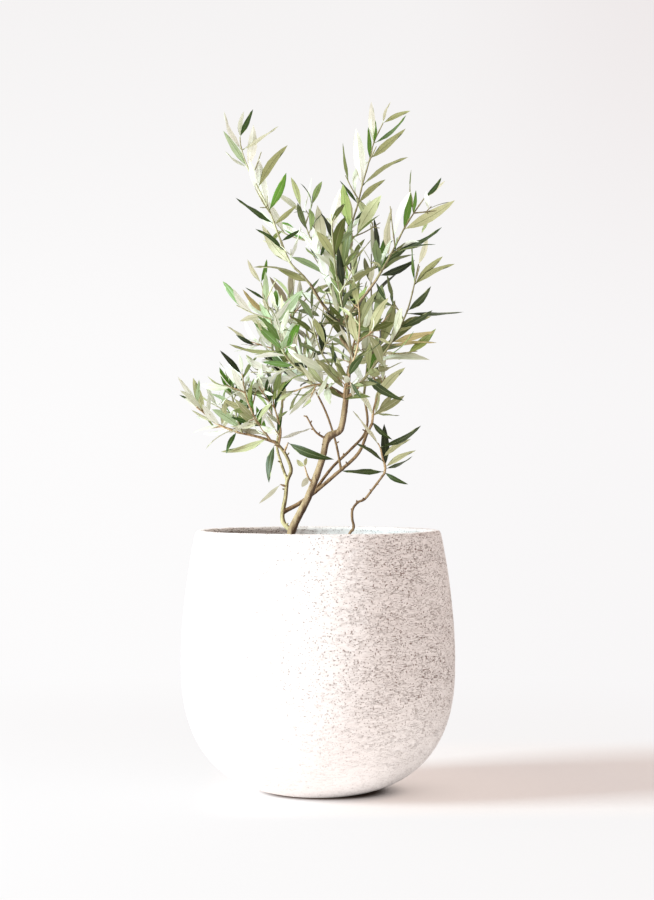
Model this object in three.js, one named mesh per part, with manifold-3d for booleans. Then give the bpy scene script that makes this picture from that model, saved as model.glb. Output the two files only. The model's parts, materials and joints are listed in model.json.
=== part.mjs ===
// Potted olive tree: a young olive with several limbs in a round, rough white cement pot.
// Millimetres, +Z up. The origin is the middle of the pot's flat underside. +X is to the right
// of the front view and +Y goes to the back.
import * as THREE from 'three';
import { mergeVertices } from 'three/addons/utils/BufferGeometryUtils.js';
import Module from 'manifold-3d';

const wasm = await Module();
wasm.setup();

// Pot: widest a little above its middle, with a squarish belly and a rim that draws in.
const POT_HEIGHT = 326;
const POT_RADIUS = 171;
const WIDEST_AT = 167;
const BELLY_POWER = 2.6;
const RIM_DRAW = 18.5;
const RIM_DRAW_POWER = 1.8;
const POT_WALL = 13.5;
const POT_FLOOR = 24;
const POT_LIP = 4;
const POT_SEGMENTS = 40;
const OUTER_STEPS = 13;
const INNER_STEPS = 8;
const FOOT_CROWDING = 1.7;

// Soil, and the small gap that neighbouring solids keep.
const SOIL_TOP = 291;
const SOIL_EDGE_DROP = 4;
const SOIL_EDGE_WIDTH = 16;
const CLEAR = 0.3;

// Limbs are drawn in rings this far apart. The root flare dies out over FLARE_REACH, and the
// knot on the trunk stands KNOT_SWELLING proud.
const RING_STEP = 14;
const LIMB_TAPER_POWER = 0.85;
const FLARE_REACH = 14;
const KNOT_SWELLING = 1.3;
const KNOT_REACH = 7;
const FOOT_CUT = 90;

// Leaf: a slim blade, widest a little under its middle, with a raised midrib.
const LEAF_LENGTH = 58;
const LEAF_SLIMNESS = 4.4;
const LEAF_THICKNESS = 1.2;
const WIDEST_PART_OF_LEAF = 0.46;
const MIDRIB_RISE = 1.6;
const ROOT_OFF_AXIS = 0.2;

// Twigs have a pair of leaves every NODE_STEP. A side twig stands SIDE_TWIG_SPREAD degrees off its
// stem, a turn of SIDE_TWIG_TURN on from the last one, and rises a little with each step.
const NODE_STEP = 25;
const TWIG_ROOT_RADIUS = 1.8;
const TWIG_TIP_RADIUS = 1.4;
const TWIG_TIP_TAPER = 0.8;
const SIDE_TWIG_TURN = 137.5;
const SIDE_TWIG_SPREAD = 52;
const SIDE_TWIG_RISE = 0.16;
const SIDE_TWIG_SHORTENING = 0.45;

// Leaves stand off their twig at the first spread at its root and the second near its tip, where
// they are smaller too. A few are missing. A leaf that would touch something is tried again rolled
// and spread by these degrees, and then left out.
const PAIR_OFFSET = 0.8;
const LEAF_SPREADS = [54, 34];
const END_LEAF_SPREAD = 0.3;
const YOUNG_FROM = 0.7;
const YOUNGEST_SIZE = 0.74;
const LEAF_ROLL_RANGE = 84;
const SHARE_OF_LEAVES = 0.94;
const LEAF_GAP = 0.5;
const LEAF_TRIES = [0, 24, -24, 48, -48, 72];

// Limbs. Each leg is [length seen from the front, lean to the right, swing to the back] in mm and
// degrees. from is the limb it leaves and the part of that limb's length at which it does.
const LIMBS = {
  trunk: { foot: [-34, 0], radii: [5.2, 3.6], sides: 8, flare: 5, knot: 0.72,
    legs: [[34, 0, 0], [52, 25, -4], [51, 20, -2], [23, 13, 0], [6, 36, 2], [14, 63, 4], [11, 20, 4],
      [39, 8, 2]] },
  left_stem: { from: ['trunk', 0.165], radii: [3.0, 2.0], sides: 6,
    legs: [[13, -48, 26], [9, -15, 16], [25, 9, 8], [20, 6, 4], [14, 20, 0], [13, -14, -4], [14, -28, -8],
      [14, -41, -12]] },
  left_rear_bough: { from: ['left_stem', 0.56], radii: [1.9, 1.3], sides: 5,
    legs: [[25, -20, 34], [21, -14, 20], [25, 9, 10], [25, 6, 5]] },
  left_outer_bough: { from: ['left_stem', 1], radii: [1.9, 1.4], sides: 5,
    legs: [[27, -73, -8], [22, -78, -4]] },
  cross_bough: { from: ['left_stem', 0.24], radii: [2.8, 1.8], sides: 6,
    legs: [[27, 62, 16], [55, 51, 5], [39, 47, 4], [28, 24, 0], [14, 27, 0]] },
  rear_cross_bough: { from: ['cross_bough', 0.27], radii: [2.1, 1.4], sides: 5,
    legs: [[42, 37, 25], [31, 46, 14], [28, 42, 8], [17, 13, 0], [34, -8, 0]] },
  inner_bough: { from: ['cross_bough', 0.56], radii: [1.5, 1.2], sides: 5,
    legs: [[36, -11, 22], [39, -18, 20], [40, -26, 16]] },
  knot_twig: { from: ['trunk', 0.7], radii: [1.5, 1.0], sides: 5,
    legs: [[16, -58, -22], [24, -31, -14]] },
  left_crown_bough: { from: ['trunk', 0.97], radii: [2.6, 1.8], sides: 6,
    legs: [[31, -58, -18], [19, -57, -20]] },
  right_crown_bough: { from: ['trunk', 0.96], radii: [2.4, 1.7], sides: 6,
    legs: [[14, 48, -14], [16, 38, -14]] },
  leader: { from: ['trunk', 1], radii: [3.3, 2.1], sides: 6,
    legs: [[25, 6, 2], [18, 16, 5], [13, -22, 5], [14, -38, 10], [15, -14, 5], [15, -4, 2]] },
  left_leader: { from: ['leader', 0.9], radii: [2.1, 1.7], sides: 5,
    legs: [[35, -39, -20], [26, -32, -16]] },
  right_leader: { from: ['leader', 0.78], radii: [2.2, 1.6], sides: 5,
    legs: [[20, 22, -30], [12, 34, -26], [26, 42, -14], [23, 36, -8]] },
  sucker: { foot: [31, 16], radii: [1.8, 1.4], sides: 5, flare: 1.2,
    legs: [[35, 14, 0], [9, 34, -4], [11, -9, -4], [12, 2, 0], [11, 36, 0], [9, 65, 0], [17, 39, -6],
      [25, 37, -4]] },
};

// Masses of foliage. Each grows one stem on from a limb, by legs as above, and twigs and leaves by
// the seeded rule. side is the longest side twig, and every is how many leaf pairs stand between
// two of them. reach is how far the leaves go from the stem at its root and at its tip. The rule
// sets leaves on the stem up to the part named ruled. outer lists the leaves that stand out against
// the sky: [part of the stem, length, lean, swing, roll from facing the front].
const MASSES = {
  tall_left_shoot: { from: ['left_leader', 1], seed: 11, side: 50, every: 2,
    reach: [60, 30], ruled: 0.3,
    legs: [[18, -42, -6], [17, -45, -4], [33, -24, 0], [42, -21, 2], [30, -27, 2], [28, -26, 0],
      [26, -18, 2], [12, -6, 0]],
    outer: [[0.02, 41, -68, -10, 30], [0.17, 62, -36, 10, 20], [0.25, 46, -53, -14, 55],
      [0.32, 30, 58, 20, 40], [0.43, 58, -56, -6, 55], [0.43, 36, 50, -12, 40],
      [0.52, 51, 25, -8, 5], [0.52, 68, -11, 12, 15], [0.67, 66, 34, 6, 40],
      [0.81, 54, -34, -8, 35], [0.81, 55, 7, 10, 15], [0.81, 36, -53, 14, 60],
      [0.92, 56, 55, 12, 78], [0.92, 56, -24, 16, 60], [1, 38, 26, -10, 45],
      [1, 34, 8, 12, 30]] },
  tall_right_shoot: { from: ['leader', 1], seed: 23, side: 54, every: 2, reach: [62, 30], ruled: 0.45,
    legs: [[27, 8, 8], [30, 7, 10], [35, 6, 6], [33, 13, 4], [22, 17, 0], [23, 13, 0], [34, 16, -4],
      [21, 14, -4], [27, 25, 0]],
    outer: [[0.49, 44, -15, -10, 25], [0.49, 36, 49, 14, 60], [0.49, 30, -48, 20, 40],
      [0.58, 38, -37, 8, 50], [0.58, 46, 49, -8, 40], [0.67, 72, -6, -6, 5],
      [0.67, 70, 57, 8, 76], [0.81, 39, -3, -16, 40], [0.81, 59, 50, -4, 45],
      [0.89, 54, -3, 8, 20], [0.89, 56, 48, 12, 76], [0.89, 28, 4, -20, 50],
      [1, 38, 66, -4, 50], [1, 30, 20, 14, 60]] },
  upper_right_shoot: { from: ['right_leader', 1], seed: 31, side: 54, every: 2,
    reach: [60, 34], ruled: 0.3,
    legs: [[40, 30, -8], [31, 27, -2], [25, 32, 0], [22, 35, 4]],
    outer: [[0.05, 58, 12, 12, 40], [0.05, 50, 66, 16, 35], [0.26, 64, 4, 8, 45],
      [0.34, 68, 64, -6, 70], [0.34, 46, 70, 14, 60], [0.6, 45, 11, -8, 10], [0.6, 74, 60, 6, 25],
      [0.8, 55, -3, 6, 76], [0.8, 28, 5, -12, 40], [1, 32, 40, -8, 40], [1, 34, 50, 10, 45]] },
  second_left_shoot: { from: ['leader', 0.93], seed: 43, side: 60, every: 1, reach: [64, 46], ruled: 1,
    legs: [[36, -12, 34], [26, -17, 20], [27, -22, 10], [38, -23, 2], [30, -16, 0]] },
  upper_middle_shoot: { from: ['leader', 0.5], seed: 57, side: 58, every: 2, reach: [62, 46], ruled: 1,
    legs: [[30, -10, -52], [34, -14, -34], [38, -10, -16], [36, -6, -6], [30, -2, 0]] },
  right_shoot: { from: ['right_crown_bough', 1], seed: 61, side: 56, every: 2,
    reach: [60, 40], ruled: 0.4,
    legs: [[25, 37, -20], [29, 38, -14], [27, 30, -8], [25, 24, 0], [30, 15, 5], [28, 12, 6]],
    outer: [[0.06, 56, 124, -20, 30], [0.35, 60, 86, 10, 72], [0.38, 55, 76, -8, 40],
      [0.46, 48, 64, 8, 40], [0.5, 46, 62, -12, 45], [0.62, 72, 88, 8, 74],
      [0.64, 42, 44, -10, 30], [0.84, 50, 45, -6, 35], [0.84, 58, 62, 10, 62],
      [0.86, 50, -4, 6, 70], [1, 36, 17, -6, 10]] },
  right_rear_shoot: { from: ['rear_cross_bough', 1], seed: 71, side: 60, every: 2,
    reach: [66, 50], ruled: 1,
    legs: [[43, 7, 6], [38, 9, 4], [46, -2, 0], [54, 0, -4]] },
  cross_shoot: { from: ['cross_bough', 1], seed: 83, side: 40, every: 2, reach: [46, 44], ruled: 1,
    legs: [[18, 6, -16], [21, 16, -10], [24, 22, 0]], outer: [[0.04, 34, 132, -16, 30]] },
  inner_shoot: { from: ['inner_bough', 1], seed: 97, side: 60, every: 1, reach: [66, 56], ruled: 1,
    legs: [[27, -28, 26], [27, -22, 22], [34, -8, 14], [34, 4, 6]] },
  mid_left_shoot: { from: ['left_crown_bough', 1], seed: 101, side: 56, every: 1,
    reach: [62, 40], ruled: 0.45,
    legs: [[18, -67, -14], [27, -43, -12], [34, -24, -6], [29, -15, 0], [30, -15, 5]],
    outer: [[0.36, 68, -82, 10, 72], [0.4, 44, -43, -14, 25], [0.44, 39, -31, 12, 30],
      [0.58, 36, -62, 6, 40], [0.62, 40, 38, -10, 45], [0.7, 46, -46, -4, 45],
      [0.7, 38, -13, 12, 30], [0.8, 40, -2, -12, 20], [0.84, 30, -58, 6, 55],
      [1, 34, -30, 10, 40], [1, 30, 14, -8, 40]] },
  left_middle_shoot: { from: ['left_crown_bough', 0.5], seed: 107, side: 54, every: 1,
    reach: [60, 46], ruled: 1,
    legs: [[22, -80, 26], [26, -60, 20], [28, -34, 12], [26, -12, 6], [24, 0, 0]] },
  left_inner_shoot: { from: ['left_stem', 0.96], seed: 109, side: 52, every: 1,
    reach: [58, 46], ruled: 1,
    legs: [[19, 8, 18], [15, -14, 12], [18, -16, 6], [21, -7, 0]] },
  left_lower_shoot: { from: ['left_outer_bough', 0.14], seed: 113, side: 50, every: 1,
    reach: [66, 46], ruled: 1,
    legs: [[20, -34, -26], [22, -31, -16], [24, -20, -8], [26, -10, 0]],
    outer: [[0.06, 62, -107, -8, 55], [0.12, 44, -80, 14, 40], [0.3, 36, -96, -16, 30],
      [0.5, 38, -68, -16, 20], [0.98, 42, -42, 10, 45]] },
  left_outer_shoot: { from: ['left_outer_bough', 1], seed: 127, side: 44, every: 1,
    reach: [52, 44], ruled: 0.5,
    legs: [[29, -68, -6], [16, -51, -4], [20, -40, 0]],
    outer: [[0.04, 30, -155, -20, 20], [0.2, 34, -100, 18, 50], [0.35, 36, 10, -12, 15],
      [0.5, 34, -62, 14, 60], [0.68, 34, 4, 16, 40], [0.75, 47, -18, -10, 25],
      [0.75, 40, -54, 0, 60], [1, 42, -36, 8, 40], [1, 30, 6, -16, 45]] },
  left_rising_shoot: { from: ['left_outer_bough', 0.9], seed: 129, side: 40, every: 1,
    reach: [50, 44], ruled: 1,
    legs: [[20, -18, 14], [23, -13, 8], [22, -13, 0]],
    outer: [[0.5, 30, -150, -20, 20], [0.78, 37, -24, -12, 25], [0.8, 32, 32, 8, 60]] },
  left_rear_shoot: { from: ['left_rear_bough', 1], seed: 131, side: 54, every: 1,
    reach: [60, 50], ruled: 1,
    legs: [[25, 0, 14], [26, -9, 10], [26, -18, 6], [26, -12, 0]] },
  centre_left_shoot: { from: ['leader', 0.12], seed: 139, side: 52, every: 1,
    reach: [58, 48], ruled: 1,
    legs: [[20, -50, -34], [26, -38, -24], [28, -20, -10], [28, -8, 0]] },
  fork_shoot: { from: ['left_crown_bough', 0.4], seed: 157, side: 34, every: 1, reach: [44, 40], ruled: 1,
    legs: [[14, -70, -50], [18, -98, -26], [18, -112, -8]] },
  front_shoot: { from: ['trunk', 0.93], seed: 149, side: 56, every: 2, reach: [62, 50], ruled: 1,
    legs: [[16, -4, -58], [24, 14, -46], [32, 18, -24], [34, 4, -8], [26, -6, 0]] },
  rear_shoot: { from: ['leader', 0.3], seed: 151, side: 60, every: 2, reach: [66, 54], ruled: 1,
    legs: [[18, 6, 56], [26, 12, 48], [36, 2, 28], [36, -6, 14], [36, -4, 4]] },
  sucker_shoot: { from: ['sucker', 1], seed: 163, side: 0, every: 9, reach: [70, 70], ruled: 0,
    legs: [[8, 8, 0], [13, -16, 0], [11, -12, 0], [8, -24, 0]],
    outer: [[0.04, 33, 117, -20, 30], [0.06, 54, -89, 10, 55], [0.2, 44, 61, -6, 30],
      [0.22, 54, -1, 14, 15], [0.16, 38, 66, 18, 60], [0.34, 44, -56, -16, 60],
      [0.52, 43, 57, 4, 35], [0.85, 58, 62, -12, 55], [0.9, 56, -37, 10, 72]] },
  trunk_sprout: { from: ['trunk', 0.45], seed: 173, side: 0, every: 9, reach: [40, 40], ruled: 0,
    legs: [[9, -45, -14], [16, -18, -10]],
    outer: [[0.45, 15, -150, -20, 20], [1, 13, -50, 0, 20], [1, 11, 14, 20, 40]] },
  crossing_leaf: { from: ['left_stem', 0.87], seed: 179, side: 0, every: 9, reach: [80, 80], ruled: 0,
    legs: [[13, 25, -56]], outer: [[1, 61, 110, -14, 25]] },
  hanging_leaf: { from: ['left_stem', 0.94], seed: 181, side: 0, every: 9, reach: [80, 80], ruled: 0,
    legs: [[7, -70, -55]], outer: [[1, 48, -172, -10, 25]] },
  low_leaf: { from: ['left_stem', 0.5], seed: 191, side: 0, every: 9, reach: [80, 80], ruled: 0,
    legs: [[8, -70, -30]], outer: [[1, 36, -132, -10, 45]] },
};

const FRONT = new THREE.Vector3(0, -1, 0);
const rad = THREE.MathUtils.degToRad;
const lerp = THREE.MathUtils.lerp;

// Solids: a closed geometry becomes a manifold, and comes back as a geometry.
function toSolid(geometry) {
  const bare = geometry.clone();
  bare.deleteAttribute('normal');
  bare.deleteAttribute('uv');
  const merged = mergeVertices(bare, 1e-4);
  return new wasm.Manifold(new wasm.Mesh({
    numProp: 3,
    vertProperties: new Float32Array(merged.attributes.position.array),
    triVerts: new Uint32Array(merged.index.array),
  }));
}

function toGeometry(solid) {
  const { vertProperties, triVerts } = solid.getMesh();
  const geometry = new THREE.BufferGeometry();
  geometry.setAttribute('position', new THREE.BufferAttribute(new Float32Array(vertProperties), 3));
  geometry.setIndex(new THREE.BufferAttribute(new Uint32Array(triVerts), 1));
  geometry.computeVertexNormals();
  return geometry;
}

// The main piece alone: loose scraps are dropped and sealed hollows are filled.
function mainPiece(solid) {
  const pieces = solid.decompose();
  return pieces.reduce((best, piece) => (piece.volume() > best.volume() ? piece : best));
}

function shell(points, faces) {
  const geometry = new THREE.BufferGeometry();
  const flat = points.flatMap((point) => point.toArray());
  geometry.setAttribute('position', new THREE.Float32BufferAttribute(flat, 3));
  geometry.setIndex(faces);
  return geometry;
}

// A tapering limb: rings of the given radii round a smooth line, closed by flat ends.
function taperedTube(centres, radii, sides) {
  const points = [];
  const faces = [];
  const tangents = centres.map((centre, i) => {
    const before = centres[Math.max(i - 1, 0)];
    const after = centres[Math.min(i + 1, centres.length - 1)];
    return after.clone().sub(before).normalize();
  });
  let across = new THREE.Vector3(1, 0, 0).addScaledVector(tangents[0], -tangents[0].x).normalize();
  centres.forEach((centre, i) => {
    across = across.clone().addScaledVector(tangents[i], -across.dot(tangents[i])).normalize();
    const other = tangents[i].clone().cross(across);
    for (let k = 0; k < sides; k += 1) {
      const turn = (2 * Math.PI * k) / sides;
      points.push(centre.clone()
        .addScaledVector(across, radii[i] * Math.cos(turn))
        .addScaledVector(other, radii[i] * Math.sin(turn)));
    }
  });
  const last = (centres.length - 1) * sides;
  for (let ring = 0; ring < last; ring += sides) {
    for (let k = 0; k < sides; k += 1) {
      const a = ring + k;
      const b = ring + ((k + 1) % sides);
      faces.push(a, b, b + sides, a, b + sides, a + sides);
    }
  }
  for (let k = 1; k < sides - 1; k += 1) {
    faces.push(0, k + 1, k, last, last + k, last + k + 1);
  }
  return shell(points, faces);
}

// The direction of a stretch whose length is as seen from the front.
function seenFromFront(lean, swing) {
  return new THREE.Vector3(Math.sin(rad(lean)), Math.tan(rad(swing)), Math.cos(rad(lean)));
}

function route(root, legs) {
  const points = [root.clone()];
  for (const [seen, lean, swing] of legs) {
    points.push(points.at(-1).clone().addScaledVector(seenFromFront(lean, swing), seen));
  }
  return new THREE.CatmullRomCurve3(points, false, 'centripetal');
}

// What stands in the crown so far: straight stretches of limb or twig, and flat leaves.
const stretches = [];
const leaves = [];

// Limbs, in order, so that each one's parent is there before it.
const limbs = {};

function makeLimb(name) {
  const { foot, from, legs, radii, sides, flare = 0, knot } = LIMBS[name];
  const root = foot
    ? new THREE.Vector3(foot[0], foot[1], SOIL_TOP - POT_LIP)
    : limbs[from[0]].line.getPointAt(from[1]);
  const line = route(root, legs);
  const length = line.getLength();
  const rings = Math.ceil(length / RING_STEP) + 1;
  const centres = line.getSpacedPoints(rings);
  const radiusAt = (part) => {
    const flared = flare * Math.exp((-part * length) / FLARE_REACH);
    const offKnot = ((part - knot) * length) / KNOT_REACH;
    const swollen = knot ? KNOT_SWELLING * Math.exp(-offKnot * offKnot) : 0;
    return lerp(radii[0], radii[1], part ** LIMB_TAPER_POWER) + flared + swollen;
  };
  const thick = centres.map((_, i) => radiusAt(i / rings));
  const stretched = centres.map((centre) => centre.clone());
  stretched.at(-1).addScaledVector(line.getTangentAt(1), CLEAR);
  const wider = thick.map((radius) => radius + CLEAR / Math.cos(Math.PI / sides));
  const grown = toSolid(taperedTube(stretched, wider, sides));
  let solid = toSolid(taperedTube(centres, thick, sides));
  if (foot) {
    const below = new THREE.BoxGeometry(FOOT_CUT, FOOT_CUT, FOOT_CUT)
      .translate(foot[0], foot[1], SOIL_TOP + CLEAR - FOOT_CUT / 2);
    solid = solid.subtract(toSolid(below));
  }
  if (from) solid = solid.subtract(limbs[from[0]].grown);
  limbs[name] = { line, grown, solid: mainPiece(solid) };
  for (let i = 1; i < centres.length; i += 1) {
    stretches.push({ owner: name, a: centres[i - 1], b: centres[i], radius: thick[i - 1] });
  }
}

// How near two straight stretches come to each other.
function stretchGap(a, b, c, d) {
  const first = b.clone().sub(a);
  const second = d.clone().sub(c);
  const apart = a.clone().sub(c);
  const firstSq = first.lengthSq();
  const secondSq = second.lengthSq();
  const both = first.dot(second);
  const spare = firstSq * secondSq - both * both;
  const alongFirst = first.dot(apart);
  const alongSecond = second.dot(apart);
  const clamp = THREE.MathUtils.clamp;
  let s = spare > 1e-9 ? clamp((both * alongSecond - alongFirst * secondSq) / spare, 0, 1) : 0;
  const t = clamp((both * s + alongSecond) / secondSq, 0, 1);
  s = clamp((both * t - alongFirst) / firstSq, 0, 1);
  return a.clone().addScaledVector(first, s).distanceTo(c.clone().addScaledVector(second, t));
}

// Whether the stretch p to q comes within margin of a flat leaf.
function nearLeaf(leaf, p, q, margin) {
  let enter = 0;
  let leave = 1;
  for (const { normal, offset } of leaf.planes) {
    const a = normal.dot(p) - offset - margin;
    const b = normal.dot(q) - offset - margin;
    if (a > 0 && b > 0) return false;
    if (a > 0) enter = Math.max(enter, a / (a - b));
    else if (b > 0) leave = Math.min(leave, a / (a - b));
  }
  return enter <= leave;
}

function twigIsFree(owner, a, b, radius, parent) {
  return stretches.every((other) => other.owner === owner || other.owner === parent
    || stretchGap(a, b, other.a, other.b) > radius + other.radius + LEAF_GAP)
    && leaves.every((leaf) => leaf.owner === owner || !nearLeaf(leaf, a, b, radius + LEAF_GAP));
}

function leafIsFree(leaf) {
  return stretches.every((other) => other.owner === leaf.owner
      || !nearLeaf(leaf, other.a, other.b, other.radius + LEAF_GAP))
    && leaves.every((other) => other.owner === leaf.owner
      || other.middle.distanceTo(leaf.middle) > (other.length + leaf.length) / 2
      || !(other.edges.some(([p, q]) => nearLeaf(leaf, p, q, LEAF_THICKNESS / 2 + LEAF_GAP))
        || leaf.edges.some(([p, q]) => nearLeaf(other, p, q, LEAF_THICKNESS / 2 + LEAF_GAP))));
}

// Seeded draws between 0 and 1.
function seeded(seed) {
  let state = (seed * 7919 + 104729) % 2147483647;
  const draw = () => {
    state = (state * 48271) % 2147483647;
    return state / 2147483647;
  };
  draw();
  draw();
  return draw;
}

// Two directions square to a twig, to turn round it from.
function squareTo(direction) {
  const guide = Math.abs(direction.y) < 0.8 ? new THREE.Vector3(0, 1, 0) : new THREE.Vector3(1, 0, 0);
  const first = direction.clone().cross(guide).normalize();
  return [first, direction.clone().cross(first)];
}

function leaning(direction, turn, spread) {
  const [first, second] = squareTo(direction);
  return direction.clone().multiplyScalar(Math.cos(rad(spread)))
    .addScaledVector(first, Math.cos(rad(turn)) * Math.sin(rad(spread)))
    .addScaledVector(second, Math.sin(rad(turn)) * Math.sin(rad(spread)));
}

// A flat leaf: a kite whose upper side faces one way, rolled a little about its own length.
function placeLeaf(owner, root, along, towards, { roll, length, width }) {
  const facing = towards.clone().addScaledVector(along, -towards.dot(along)).normalize();
  const flat = facing.clone().cross(along);
  const across = flat.clone().applyAxisAngle(along, rad(roll));
  const up = along.clone().cross(across);
  const widest = length * WIDEST_PART_OF_LEAF;
  const at = (l, w, h) => root.clone()
    .addScaledVector(along, l).addScaledVector(across, w).addScaledVector(up, h);
  const tip = at(length, 0, 0);
  const left = at(widest, -width / 2, 0);
  const right = at(widest, width / 2, 0);
  const side = (l, w) => {
    const normal = along.clone().multiplyScalar(l).addScaledVector(across, w).normalize();
    return { normal, offset: normal.dot(w > 0 ? right : left) };
  };
  const planes = [side(-width / 2, widest), side(-width / 2, -widest),
    side(width / 2, length - widest), side(width / 2, widest - length),
    { normal: up, offset: up.dot(root) + LEAF_THICKNESS / 2 },
    { normal: up.clone().negate(), offset: LEAF_THICKNESS / 2 - up.dot(root) }];
  const edges = [[root, left], [left, tip], [tip, right], [right, root], [root, tip]];
  return { owner, root, tip, left, right, at, widest, length, planes, edges, middle: at(length / 2, 0, 0) };
}

// Eight faces: the root is an edge that stands across the blade, so that it fuses deep in the twig.
function leafSolid({ at, widest, length, left, right, tip }) {
  const half = LEAF_THICKNESS / 2;
  const points = [at(ROOT_OFF_AXIS, 0, -half), at(ROOT_OFF_AXIS, 0, half), left, right,
    at(widest, 0, half * MIDRIB_RISE), tip];
  const faces = [0, 3, 2, 2, 3, 5, 1, 2, 4, 1, 4, 3, 4, 2, 5, 4, 5, 3, 0, 2, 1, 0, 1, 3];
  return toSolid(shell(points, faces));
}

// Twigs: a stem by its legs, and side twigs that leave it by turns and rise towards the light.
const masses = {};

function startMass(name) {
  const { from, legs, seed, side, every } = MASSES[name];
  const limb = limbs[from[0]];
  const root = from[1] === 1
    ? limb.line.getPointAt(1).addScaledVector(limb.line.getTangentAt(1), -1)
    : limb.line.getPointAt(from[1]);
  const line = route(root, legs);
  const length = line.getLength();
  const count = Math.max(1, Math.round(length / NODE_STEP));
  const stem = { points: line.getSpacedPoints(count), radius: TWIG_ROOT_RADIUS,
    draw: seeded(seed), turn: 90 * seeded(seed + 1)() };
  masses[name] = { from, stem, twigs: [stem], side, every, leaves: [] };
  addStretches(name, stem.points, stem.radius);
}

function addStretches(owner, points, radius) {
  for (let i = 1; i < points.length; i += 1) {
    stretches.push({ owner, a: points[i - 1], b: points[i], radius });
  }
}

function growSideTwigs(name) {
  const { stem, twigs, side, every, from } = masses[name];
  if (side === 0) return;
  const draw = seeded(MASSES[name].seed + 2);
  let turn = 360 * draw();
  for (let i = every; i < stem.points.length - 1; i += every) {
    turn += SIDE_TWIG_TURN + 30 * (draw() - 0.5);
    const part = i / (stem.points.length - 1);
    const length = side * (1 - SIDE_TWIG_SHORTENING * part) * (0.75 + 0.5 * draw());
    const stemway = stem.points[i + 1].clone().sub(stem.points[i - 1]).normalize();
    const steps = Math.max(1, Math.round(length / NODE_STEP));
    const points = [stem.points[i]];
    let direction = leaning(stemway, turn, SIDE_TWIG_SPREAD + 16 * (draw() - 0.5));
    for (let k = 0; k < steps; k += 1) {
      points.push(points.at(-1).clone().addScaledVector(direction, length / steps));
      direction = direction.clone().add(new THREE.Vector3(0, 0, SIDE_TWIG_RISE)).normalize();
    }
    const free = points.every((point, k) => k === 0
      || twigIsFree(name, points[k - 1], point, TWIG_TIP_RADIUS, from[0]));
    if (free) {
      twigs.push({ points, radius: TWIG_TIP_RADIUS, draw: seeded(MASSES[name].seed * 31 + i), turn: 45 });
      addStretches(name, points, TWIG_TIP_RADIUS);
    }
  }
}

// A leaf's place on a twig, by its part of the length. The two of a pair stand a little apart.
function onTwig(points, part, order) {
  const place = Math.min(part, 0.999) * (points.length - 1);
  const i = Math.floor(place);
  const direction = points[i + 1].clone().sub(points[i]).normalize();
  const root = points[i].clone().lerp(points[i + 1], place - i);
  return { root: root.addScaledVector(direction, order % 2 ? PAIR_OFFSET : -PAIR_OFFSET), direction };
}

// The first of several tries at a leaf that stays within reach and touches no other piece.
function offerLeaf(mass, reach, attempt) {
  const { points } = mass.stem;
  for (const extra of LEAF_TRIES) {
    const leaf = attempt(extra);
    const beyond = leaf.tip.clone().addScalar(1e-3);
    const inReach = points.some((point, i) => i > 0
      && stretchGap(points[i - 1], point, leaf.tip, beyond) < reach);
    if (inReach && leafIsFree(leaf)) {
      leaves.push(leaf);
      mass.leaves.push(leaf);
      return;
    }
  }
}

// The leaves that stand out against the sky, each by its own lean, swing and roll.
function growOuterLeaves(name) {
  const mass = masses[name];
  const draw = seeded(MASSES[name].seed + 3);
  (MASSES[name].outer ?? []).forEach(([part, seen, lean, swing, roll], i) => {
    const along = seenFromFront(lean, swing).normalize();
    const length = seen / Math.cos(rad(swing));
    const width = (length / LEAF_SLIMNESS) * (0.95 + 0.25 * draw());
    const { root } = onTwig(mass.stem.points, part, i);
    offerLeaf(mass, Infinity, (extra) => placeLeaf(name, root, along, FRONT,
      { roll: roll + extra / 2, length, width }));
  });
}

// By rule, leaves stand in pairs, each pair a quarter turn on from the last, and one ends a twig.
function growRuledLeaves(name) {
  const mass = masses[name];
  const { ruled, reach } = MASSES[name];
  for (const twig of mass.twigs) {
    const { points, draw } = twig;
    const last = points.length - 1;
    const upTo = twig === mass.stem ? ruled : 1;
    for (let i = 0; i < last; i += 1) {
      const middle = (i + 0.5) / last;
      const within = lerp(...reach, twig === mass.stem ? middle : 0.5);
      const turn = twig.turn + 90 * i + 30 * (draw() - 0.5);
      for (const half of i === last - 1 ? [0, 180, 'end'] : [0, 180]) {
        const part = half === 'end' ? 1 : middle;
        const youth = Math.max(0, (part - YOUNG_FROM) / (1 - YOUNG_FROM));
        const length = LEAF_LENGTH * lerp(1, YOUNGEST_SIZE, youth) * (0.84 + 0.36 * draw());
        const spread = (lerp(...LEAF_SPREADS, part) + 24 * (draw() - 0.5))
          * (half === 'end' ? END_LEAF_SPREAD : 1);
        const roll = LEAF_ROLL_RANGE * (draw() - 0.5);
        const width = (length / LEAF_SLIMNESS) * (0.86 + 0.3 * draw());
        const kept = draw() < SHARE_OF_LEAVES && part <= upTo;
        const side = half === 'end' ? turn + 90 : turn + half;
        const { root, direction } = onTwig(points, part, half === 0 ? 0 : 1);
        if (kept) {
          offerLeaf(mass, within, (extra) => {
            const along = leaning(direction, side, spread + extra / 3);
            return placeLeaf(name, root, along, direction, { roll: roll + extra, length, width });
          });
        }
      }
    }
  }
}

function massSolid(name) {
  const { twigs, from } = masses[name];
  const tubes = twigs.map(({ points, radius }) => {
    const tip = TWIG_TIP_RADIUS * TWIG_TIP_TAPER;
    const radii = points.map((_, i) => lerp(radius, tip, i / (points.length - 1)));
    return toSolid(taperedTube(points, radii, 3));
  });
  const parts = [...tubes, ...masses[name].leaves.map(leafSolid)];
  const fused = wasm.Manifold.union(parts);
  return mainPiece(fused.subtract(limbs[from[0]].grown));
}

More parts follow.
